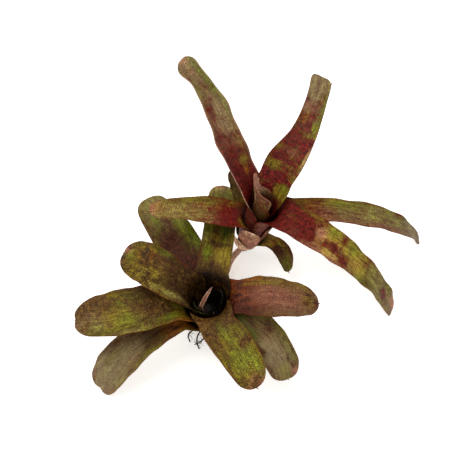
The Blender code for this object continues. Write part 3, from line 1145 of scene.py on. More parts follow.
# Veins: their length, spacing and shade. How faint scurf is underneath, and a margin at its least
LINE_LENGTH = 26.0
VEIN_SPACING = 0.42
VEIN_CONTRAST = 0.5
VEIN_SHADE = 0.72
UNDERSIDE_SCURF = 0.16
MARGIN_LEAST = 0.35

# How much specks and scurf add to the roughness, and veins, specks and scurf to the height
SPECK_ROUGHNESS = 0.16
SCURF_ROUGHNESS = 0.2
VEIN_HEIGHT = 0.7
SPECK_HEIGHT = 0.4
SCURF_HEIGHT = 0.3


class Finishes:
    """Makes the materials. The effects that several of them share are node groups."""

    def __init__(self) -> None:
        """Builds the shared groups."""
        self.blotches = self.blotch_group()
        self.fibres = self.fibre_group()
        self.skin = self.skin_group()

    @staticmethod
    def blotch_group() -> bpy.types.NodeTree:
        """Clouds with grainy edges, which cover a given share of the surface."""
        graph, given, out = new_group(
            "blotches",
            {"Place": "vector", "Along": "float", "Across": "float", "Amount": "float", "Softness": "float"},
            {"Mask": "float"},
        )
        size = graph.node("ShaderNodeCombineXYZ")
        graph.feed(size.inputs[0], given["Along"])
        graph.feed(size.inputs[1], given["Across"])
        size.inputs[2].default_value = 1.0
        cloud = graph.noise(graph.vector("DIVIDE", given["Place"], size.outputs[0]), 3.0, 0.6)
        grain = graph.math("SUBTRACT", graph.pattern(given["Place"], BLOTCH_GRAIN), 0.5)
        grainy = graph.math("MULTIPLY_ADD", grain, BLOTCH_GRAININESS, cloud)
        spread = graph.math("MULTIPLY_ADD", graph.math("SUBTRACT", grainy, 0.5), BLOTCH_GAIN, 0.5)
        level = graph.math("SUBTRACT", 1.0, given["Amount"])
        mask = graph.ramp(
            spread,
            graph.math("SUBTRACT", level, given["Softness"]),
            graph.math("ADD", level, given["Softness"]),
        )
        graph.feed(out["Mask"], mask)
        return graph.tree

    @staticmethod
    def fibre_group() -> bpy.types.NodeTree:
        """Fine lines that run lengthwise, as leaf veins and fibres do."""
        graph, given, out = new_group(
            "fibres", {"Place": "vector", "Spacing": "float"}, {"Line": "float"}
        )
        size = graph.node("ShaderNodeCombineXYZ")
        size.inputs[0].default_value = LINE_LENGTH
        graph.feed(size.inputs[1], given["Spacing"])
        size.inputs[2].default_value = 1.0
        line = graph.noise(graph.vector("DIVIDE", given["Place"], size.outputs[0]), 2.0, 0.5)
        graph.feed(out["Line"], graph.ramp(line, *LINE_SPAN))
        return graph.tree

    def skin_group(self) -> bpy.types.NodeTree:
        """A mottled leaf skin: ground, blotches, specks, veins, scurf and margin."""
        graph, given, out = new_group(
            "leaf skin",
            {
                "Place": "vector", "Ground": "colour", "Red": "float", "Grey": "float",
                "Margin": "float", "Face": "float", "Blotch": "colour", "Dot": "colour",
                "Margin Tint": "colour", "Along": "float", "Across": "float", "Dots": "float",
                "Mottle": "float", "Roughness": "float",
            },
            {"Color": "colour", "Roughness": "float", "Height": "float"},
        )
        place = given["Place"]
        fine = graph.pattern(place, SPECKS)
        lines = graph.group(self.fibres, place=place, spacing=VEIN_SPACING).outputs[0]
        blotches = graph.group(
            self.blotches, place=place, along=given["Along"], across=given["Across"],
            amount=given["Red"], softness=BLOTCH_SOFTNESS,
        ).outputs[0]
        scurf = self.scurf(graph, given)
        colour = self.speckled(graph, given, self.ground(graph, given, blotches), fine)
        colour = graph.tinted(colour, self.vein_shade(graph, lines))
        colour = graph.blend(scurf, colour, Tint.ASH.linear())
        broken = graph.math("MULTIPLY", given["Margin"], graph.ramp(fine, *MARGIN_SPAN, MARGIN_LEAST, 1.0))
        graph.feed(out["Color"], graph.blend(broken, colour, given["Margin Tint"]))
        rough = graph.math("MULTIPLY_ADD", fine, SPECK_ROUGHNESS, given["Roughness"])
        graph.feed(out["Roughness"], graph.math("MULTIPLY_ADD", scurf, SCURF_ROUGHNESS, rough))
        height = graph.math("MULTIPLY_ADD", lines, VEIN_HEIGHT, graph.math("MULTIPLY", fine, SPECK_HEIGHT))
        graph.feed(out["Height"], graph.math("MULTIPLY_ADD", scurf, SCURF_HEIGHT, height))
        return graph.tree

    @staticmethod
    def ground(graph: Graph, given: dict, blotches: bpy.types.NodeSocket) -> bpy.types.NodeSocket:
        """The uneven ground with its blotches, and the clouds over both."""
        place, mottle = given["Place"], given["Mottle"]
        tones = graph.math("MULTIPLY", graph.pattern(place, TONES), 0.5)
        uneven = graph.math("MULTIPLY_ADD", graph.pattern(place, STREAKS), 0.5, tones)
        ground = graph.varied(given["Ground"], uneven, GROUND_CONTRAST, mottle)
        blotch = graph.varied(given["Blotch"], graph.pattern(place, CLOTS), CLOT_CONTRAST)
        colour = graph.blend(blotches, ground, blotch)
        return graph.varied(colour, graph.pattern(place, CLOUDS), CLOUD_CONTRAST, mottle)

    @staticmethod
    def speckled(
        graph: Graph, given: dict, colour: bpy.types.NodeSocket, fine: bpy.types.NodeSocket
    ) -> bpy.types.NodeSocket:
        """A colour with its glints and, where the fine pattern is high, its specks."""
        grain = graph.pattern(given["Place"], GLINTS)
        glints = graph.math("MULTIPLY", graph.ramp(grain, *GLINT_SPAN), given["Dots"])
        colour = graph.blend(glints, colour, graph.tinted(colour, GLINT_FACTORS))
        specks = graph.math("MULTIPLY", graph.ramp(fine, *SPECK_SPAN), given["Dots"])
        return graph.blend(specks, colour, given["Dot"])

    @staticmethod
    def vein_shade(graph: Graph, lines: bpy.types.NodeSocket) -> bpy.types.NodeSocket:
        """The grey that a skin is multiplied by, darker between its veins."""
        shade = graph.math("MULTIPLY_ADD", lines, VEIN_CONTRAST, VEIN_SHADE)
        grey = graph.node("ShaderNodeCombineColor")
        for socket in grey.inputs:
            graph.feed(socket, shade)
        return grey.outputs[0]

    @staticmethod
    def scurf(graph: Graph, given: dict) -> bpy.types.NodeSocket:
        """How much of the skin is grey: patches of dust, and faint rings on the underside."""
        place = given["Place"]
        dust = graph.ramp(graph.pattern(place, DUST), *DUST_SPAN)
        patches = graph.ramp(graph.pattern(place, DUST_PATCHES), *DUST_PATCH_SPAN)
        dusty = graph.math("MULTIPLY", graph.math("MULTIPLY", dust, patches), given["Grey"])
        rings = graph.ramp(graph.pattern(place, UNDERSIDE_RINGS), *RING_SPAN)
        under = graph.math("MULTIPLY", graph.math("SUBTRACT", 1.0, given["Face"]), rings)
        return graph.math("MAXIMUM", dusty, graph.math("MULTIPLY", under, UNDERSIDE_SCURF))

    @staticmethod
    def material(name: str) -> tuple[bpy.types.Material, Graph, bpy.types.Node]:
        """A new material with its graph and its Principled shader."""
        made = bpy.data.materials.new(name)
        made.use_nodes = True
        graph = Graph(made.node_tree)
        return made, graph, made.node_tree.nodes["Principled BSDF"]

    @staticmethod
    def bump(graph: Graph, shader: bpy.types.Node, height: object, distance: float, strength: float) -> None:
        """Lets a height shape the shader's normal."""
        node = graph.node("ShaderNodeBump")
        node.inputs["Strength"].default_value = strength
        node.inputs["Distance"].default_value = distance * MM
        graph.feed(node.inputs["Height"], height)
        graph.feed(shader.inputs["Normal"], node.outputs[0])

    def leaf(self, name: str, skin: Skin) -> bpy.types.Material:
        """The material of one leaf."""
        made, graph, shader = self.material(f"{name}_skin")
        paint = graph.group(
            self.skin,
            place=graph.attribute("place", "Vector"),
            ground=graph.attribute("tone", "Color"),
            red=graph.attribute("red"),
            grey=graph.attribute("grey"),
            margin=graph.attribute("margin"),
            face=graph.attribute("face"),
            blotch=skin.blotch.linear(),
            dot=skin.dot.linear(),
            margin_tint=skin.margin.linear(),
            along=skin.along,
            across=skin.across,
            dots=skin.dots,
            mottle=skin.mottle,
            roughness=skin.roughness,
        )
        graph.feed(shader.inputs["Base Color"], paint.outputs["Color"])
        graph.feed(shader.inputs["Roughness"], paint.outputs["Roughness"])
        shader.inputs["Specular IOR Level"].default_value = LEAF_SPECULAR
        self.bump(graph, shader, paint.outputs["Height"], 0.25, 0.5)
        return made

    def fibrous(
        self, name: str, dark: Tint, amount: float, spacing: float, roughness: float
    ) -> bpy.types.Material:
        """The material of a stem, runner, root or scale: its painted tone, blotched and lined.

        Args:
            name: the material's name.
            dark: the tint of the blotches.
            amount: how much of the surface they cover.
            spacing: how far apart the lines are.
            roughness: how matt it is between the lines.

        Returns:
            The material.
        """
        made, graph, shader = self.material(name)
        place = graph.attribute("place", "Vector")
        patches = graph.group(
            self.blotches, place=place, along=4.0, across=2.6, amount=amount, softness=0.2
        ).outputs[0]
        lines = graph.group(self.fibres, place=place, spacing=spacing).outputs[0]
        colour = graph.blend(patches, graph.attribute("tone", "Color"), dark.linear())
        colour = graph.blend(
            graph.math("MULTIPLY", lines, 0.45), colour, graph.tinted(colour, (0.5, 0.45, 0.4))
        )
        graph.feed(shader.inputs["Base Color"], colour)
        graph.feed(shader.inputs["Roughness"], graph.math("MULTIPLY_ADD", lines, 0.15, roughness))
        shader.inputs["Specular IOR Level"].default_value = FIBROUS_SPECULAR
        self.bump(graph, shader, graph.math("ADD", lines, patches), 0.3, 0.6)
        return made


MOTHER = Rosette("mother", (0.0, 0.0, 0.0), 0.0, 4.8, 30.0, 1.8, 1.5, 6.4)
PUP = Rosette("pup", (27.0, 65.0, 0.12), 12.0, 3.6, 24.0, 2.0, 1.15, 4.3)

# Painted shade: the small inner leaves deep in the mother's cup are near-black on every face, margin, blotch
# and dot, standing for the shade in the cup
CUP_SHADE_SKIN = Skin(
    bands=(Band(0.0, Tint.SHADE), Band(1.0, Tint.SHADE)),
    red=(0.4, 0.4), grey=(0.0, 0.0), blotch=Tint.SHADE, dot=Tint.SHADE, margin=Tint.SHADE,
    outer=Tint.SHADE, dots=0.1,
)

MOTHER_LEAVES = (
    Leaf(
        "mother_heart_leaf", 0, 222, 8, 26, (100, 140), (3.2, 2.8), wrap=34, channel=1.2, toothed=False,
        form=Form(left=(-1.7, -1.3, -2.3), right=(-1.7, -1.3, -2.3), tip_power=1.2, ripple=0.2),
        skin=Skin(
            bands=(
                Band(0.0, Tint.MAROON), Band(0.25, Tint.ROSE, right=Tint.BLUSH),
                Band(0.6, Tint.ROSE, right=Tint.BLUSH),
                Band(1.0, Tint.MAROON),
            ),
            red=(0.4, 0.2), grey=(0.0, 0.0), blotch=Tint.MAUVE, dot=Tint.CRIMSON, margin=Tint.BLUSH,
            inner=Tint.WINE,
            outer=Tint.MAROON, dots=0.4,
        ),
    ),
    Leaf("mother_leaf_11", 1, 215, 13, 8, (84, 80), (8, 4), wrap=64, toothed=False, skin=CUP_SHADE_SKIN),
    Leaf("mother_leaf_10", 2, 20, 15, 9, (84, 80), (9, 4), wrap=60, toothed=False, skin=CUP_SHADE_SKIN),
    Leaf("mother_leaf_09", 2, 250, 15, 8, (84, 80), (9, 4), wrap=60, toothed=False, skin=CUP_SHADE_SKIN),
    Leaf(
        "mother_leaf_08", 3, 165, 34, 53, (25, 10, -5), (14, 16.5, 14), (-24, -9),
        form=Form(tip_power=2.4, notch=0.6, mucro_bend=-35, ripple=0.6),
        skin=Skin(
            bands=(
                Band(0.0, Tint.SHADE), Band(0.13, Tint.DEEP, left=Tint.COCOA, right=Tint.SHADE),
                Band(0.28, Tint.COCOA, left=Tint.BRONZE),
                Band(0.45, Tint.UMBER, left=Tint.SAGE, right=Tint.COCOA),
                Band(0.7, Tint.BRONZE, left=Tint.GOLD, right=Tint.UMBER),
                Band(0.88, Tint.BRONZE, right=Tint.OLIVE),
                Band(1.0, Tint.DRAB, left=Tint.ROSE, right=Tint.ROSE),
            ),
            red=(0.5, 0.45, 0.4, 0.4, 0.5), grey=(0.0, 0.05, 0.1), blotch=Tint.COCOA, dots=0.75,
            along=5, across=5,
            marks=(
                Spot(Tint.OLIVE, 6, 6, u=131, v=256, red=-0.5),
                Spot(Tint.ROSE, 5, 5, u=127, v=248),
                Spot(Tint.ORANGE, 10, 8, u=148, v=258, red=0.3),
                Spot(Tint.LEAF, 10, 5, u=164, v=250, red=-0.5),
                Spot(Tint.GOLD, 12, 10, u=150, v=276, red=0.1),
                Spot(Tint.MAROON, 12, 10, u=182, v=275, red=0.4),
                Spot(Tint.SAGE, 16, 4, u=170, v=294, red=-0.3),
            ),
        ),
    ),
    Leaf(
        "mother_leaf_07", 4, 286, 33, 61, (10, -5, -15), (12.5, 14.6, 13.6, 10), (22, 13),
        shift=(0.5, 1.4, 1.4, 0.5),
        form=Form(
            tip_power=2.3, mucro_bend=30, crease=0.6, ripple=0.5,
            crimps=(Crimp(0.6, 0.8, 0.03, 0.02, 1.0),),
        ),
        skin=Skin(
            bands=(
                Band(0.0, Tint.COCOA), Band(0.15, Tint.COCOA, right=Tint.BRONZE),
                Band(0.35, Tint.BRONZE, left=Tint.OLIVE, right=Tint.UMBER),
                Band(0.62, Tint.LIME, left=Tint.BRONZE, right=Tint.BRONZE),
                Band(0.88, Tint.GOLD, left=Tint.LIME, right=Tint.UMBER),
                Band(1.0, Tint.MAUVE, left=Tint.ROSE, right=Tint.UMBER),
            ),
            red=(0.5, 0.4, 0.35, 0.3, 0.4), grey=(0.0, 0.1, 0.15), blotch=Tint.UMBER, dots=0.75,
            along=9, across=5,
            marks=(
                Spot(Tint.COCOA, 14, 6, u=205, v=326, red=0.4),
                Spot(Tint.LIME, 14, 7, u=228, v=334, red=-0.5),
                Spot(Tint.UMBER, 3, 10, u=246, v=340, red=0.5),
                Spot(Tint.GOLD, 10, 5, u=222, v=350, red=0.2),
                Spot(Tint.LIME, 12, 8, u=240, v=362, red=-0.3),
                Spot(Tint.LIME, 8, 3, u=257, v=362, red=-0.3),
                Spot(Tint.ROSE, 6, 8, u=256, v=381, red=0.4),
                Spot(Tint.OLIVE, 6, 4, u=242, v=383, red=0.1),
            ),
        ),
    ),
    Leaf(
        "mother_leaf_06", 4, 79, 31, 84, (4, -11, -17), (12, 12, 11.5, 8), (-1, 14),
        form=Form(mucro_bend=-40, ripple=0.5, crimps=(Crimp(0.5, 1.0, 0.03, 0.03),)),
        skin=Skin(
            bands=(
                Band(0.0, Tint.SHADE), Band(0.11, Tint.UMBER, right=Tint.BRONZE),
                Band(0.24, Tint.BRONZE, left=Tint.COCOA, right=Tint.BRONZE),
                Band(0.36, Tint.BRONZE, left=Tint.SAGE, right=Tint.OLIVE),
                Band(0.47, Tint.COCOA, left=Tint.LEAF, right=Tint.MOSS),
                Band(0.56, Tint.OLIVE, left=Tint.LEAF, right=Tint.MOSS),
                Band(0.85, Tint.OLIVE), Band(1.0, Tint.SAGE, left=Tint.ROSE),
            ),
            red=(0.3, 0.35, 0.35, 0.3, 0.15), grey=(0.0, 0.0, 0.1, 0.4), blotch=Tint.COCOA, dots=0.5,
            along=5, across=9,
            marks=(
                Spot(Tint.ROSE, 4, 6, u=218, v=185),
                Spot(Tint.SAGE, 5, 6, u=214, v=192, red=-0.3),
                Spot(Tint.OLIVE, 8, 5, u=210, v=228, red=-0.2),
                Spot(Tint.MOSS, 14, 5, u=226, v=232, red=-0.4),
                Spot(Tint.COCOA, 3, 9, u=218, v=245, red=0.5),
                Spot(Tint.LEAF, 10, 5, u=208, v=252, red=-0.4),
                Spot(Tint.GOLD, 8, 7, u=221, v=256, red=-0.3),
                Spot(Tint.MOSS, 12, 2, u=232, v=252, red=-0.2),
                Mark(0.08, 0, 0.03, 0.5, Tint.COCOA, red=0.2),
            ),
        ),
    ),
    Leaf(
        "mother_leaf_05", 5, 188, 30, 79, (5, -8, -12), (13, 17.6, 17.4, 12), (6, -4),
        shift=(0.5, 1, 0.5, 0),
        form=Form(tip_power=2.6, notch=1.2, mucro_bend=-30, ripple=0.7),
        skin=Skin(
            bands=(
                Band(0.0, Tint.OLIVE, left=Tint.ORANGE, right=Tint.COCOA),
                Band(0.25, Tint.COCOA, left=Tint.OLIVE, right=Tint.DEEP),
                Band(0.42, Tint.UMBER, left=Tint.OLIVE, right=Tint.COCOA),
                Band(0.62, Tint.GOLD, left=Tint.OLIVE, right=Tint.BRONZE),
                Band(0.85, Tint.DRAB, left=Tint.OLIVE, right=Tint.UMBER),
                Band(1.0, Tint.DRAB, left=Tint.ROSE, right=Tint.MAUVE),
            ),
            red=(0.3, 0.4, 0.3, 0.35, 0.5), grey=(0.0, 0.05, 0.15), blotch=Tint.UMBER, dots=0.7,
            along=8, across=6,
            marks=(
                Spot(Tint.MAUVE, 5, 9, u=80, v=312, red=0.3),
                Spot(Tint.UMBER, 14, 6, u=100, v=306, red=0.4),
                Spot(Tint.LIME, 12, 7, u=128, v=318, red=-0.7),
                Spot(Tint.OLIVE, 18, 6, u=122, v=300, red=0.1),
                Spot(Tint.SAGE, 18, 3, u=130, v=332, red=-0.4),
                Spot(Tint.SAGE, 10, 6, u=95, v=326, red=-0.1),
                Spot(Tint.COCOA, 14, 8, u=160, v=307, red=0.3),
                Spot(Tint.LEAF, 10, 4, u=172, v=317, red=-0.4),
            ),
        ),
    ),
    Leaf(
        "mother_leaf_04", 5, 0, 32, 64, (10, -8, -20), (12, 16, 14, 9.5), (-3, -1),
        form=Form(tip_power=2.0, slant=1.0, mucro_bend=20, ripple=0.6),
        skin=Skin(
            bands=(
                Band(0.0, Tint.RUST, right=Tint.DEEP),
                Band(0.2, Tint.RUST, left=Tint.ORANGE, right=Tint.MAROON),
                Band(0.45, Tint.MAUVE, left=Tint.BRONZE, right=Tint.UMBER),
                Band(0.8, Tint.MAUVE, left=Tint.BRONZE, right=Tint.DRAB),
                Band(1.0, Tint.DRAB, left=Tint.RUST, right=Tint.RUST),
            ),
            red=(0.5, 0.35, 0.3, 0.3), grey=(0.0, 0.25, 0.3), blotch=Tint.MAROON, dots=0.6, mottle=0.7,
            along=7, across=4,
            marks=(
                Spot(Tint.ORANGE, 8, 6, u=228, v=292, red=0.2),
                Spot(Tint.RUST, 8, 6, u=240, v=300, red=0.3),
                Spot(Tint.MAUVE, 24, 9, u=268, v=295, red=-0.3),
                Spot(Tint.BRONZE, 24, 2, u=265, v=282, red=-0.2),
                Spot(Tint.BRONZE, 8, 9, u=308, v=302, red=0.2),
                Spot(Tint.RUST, 3, 6, u=317, v=305, red=0.3),
            ),
        ),
    ),
    Leaf(
        "mother_leaf_03", 6, 112, 30, 78, (12, -2, -15), (13, 16, 15, 11), (11, 8), wrap=64,
        form=Form(tip_power=2.4, mucro_bend=-20, ripple=0.7),
        skin=Skin(
            bands=(
                Band(0.0, Tint.DEEP), Band(0.25, Tint.COCOA, right=Tint.OLIVE),
                Band(0.5, Tint.UMBER, left=Tint.OLIVE, right=Tint.LEAF),
                Band(0.75, Tint.DRAB, left=Tint.OLIVE, right=Tint.LEAF), Band(1.0, Tint.SAGE),
            ),
            red=(0.5, 0.5, 0.5, 0.4, 0.2), grey=(0.0, 0.1, 0.2, 0.4), blotch=Tint.MAROON, dots=0.6,
            mottle=0.8,
            along=7, across=6,
            marks=(
                Spot(Tint.SAGE, 10, 9, u=148, v=203, red=-0.4),
                Spot(Tint.LEAF, 18, 4, u=157, v=224, red=-0.3),
                Spot(Tint.MAROON, 16, 9, u=171, v=245, red=0.4),
                Mark(0.42, -0.8, 0.2, 0.35, Tint.LEAF, red=-0.7),
                Mark(0.55, -0.6, 0.15, 0.25, Tint.LIME, red=-0.5),
                Spot(Tint.DEEP, 12, 6, u=197, v=265, red=0.4),
            ),
        ),
    ),
    Leaf(
        "mother_leaf_02", 6, 334, 28, 68, (5, -25, -50), (12, 13.6, 11.2), (-1, -42), shift=(0, -0.6, 0),
        wrap=64,
        form=Form(tip_power=2.3, mucro_bend=20, ripple=0.6),
        skin=Skin(
            bands=(
                Band(0.0, Tint.MOSS), Band(0.35, Tint.DRAB, left=Tint.OLIVE, right=Tint.MOSS),
                Band(0.75, Tint.ASH, left=Tint.OLIVE, right=Tint.DRAB),
                Band(1.0, Tint.DRAB, left=Tint.MAUVE),
            ),
            red=(0.3, 0.4, 0.3), grey=(0.1, 0.2, 0.3), dots=0.4, mottle=0.5, along=10, across=4,
            marks=(
                Spot(Tint.MOSS, 10, 8, u=250, v=333, red=-0.2),
                Spot(Tint.ASH, 14, 8, u=270, v=352, red=-0.3),
                Spot(Tint.SAGE, 8, 8, u=285, v=370, red=-0.3),
                Spot(Tint.COCOA, 6, 4, u=262, v=352, red=0.2),
                Spot(Tint.ROSE, 4, 3, u=295, v=370),
            ),
        ),
    ),
    Leaf(
        "mother_leaf_01", 7, 211, 24, 88, (5, -20, -45), (9, 12.4, 14.8, 11), (-5, 12),
        shift=(0, -0.6, -1, -1), rests=True,
        form=Form(tip_power=2.6, notch=1.5, ripple=0.7, mucro_bend=30),
        skin=Skin(
            bands=(
                Band(0.0, Tint.ORANGE, left=Tint.BRONZE),
                Band(0.3, Tint.COCOA, left=Tint.BRONZE, right=Tint.UMBER),
                Band(0.55, Tint.DRAB, left=Tint.BRONZE, right=Tint.UMBER),
                Band(0.8, Tint.ASH, left=Tint.SAGE), Band(1.0, Tint.ASH, left=Tint.MAUVE, right=Tint.MAUVE),
            ),
            red=(0.2, 0.45, 0.35, 0.25), grey=(0.0, 0.2, 0.6, 0.6), dots=0.6, mottle=0.6, along=14,
            across=3,
            marks=(
                Spot(Tint.ASH, 10, 6, u=100, v=380, red=-0.4),
                Mark(0.56, 0.1, 0.18, 0.5, Tint.ASH, red=-0.6),
                Spot(Tint.SAGE, 14, 4, u=112, v=358, red=-0.3),
                Spot(Tint.OLIVE, 14, 3, u=148, v=355, red=-0.2),
                Spot(Tint.ORANGE, 10, 6, u=175, v=332, red=0.2),
            ),
        ),
    ),
)

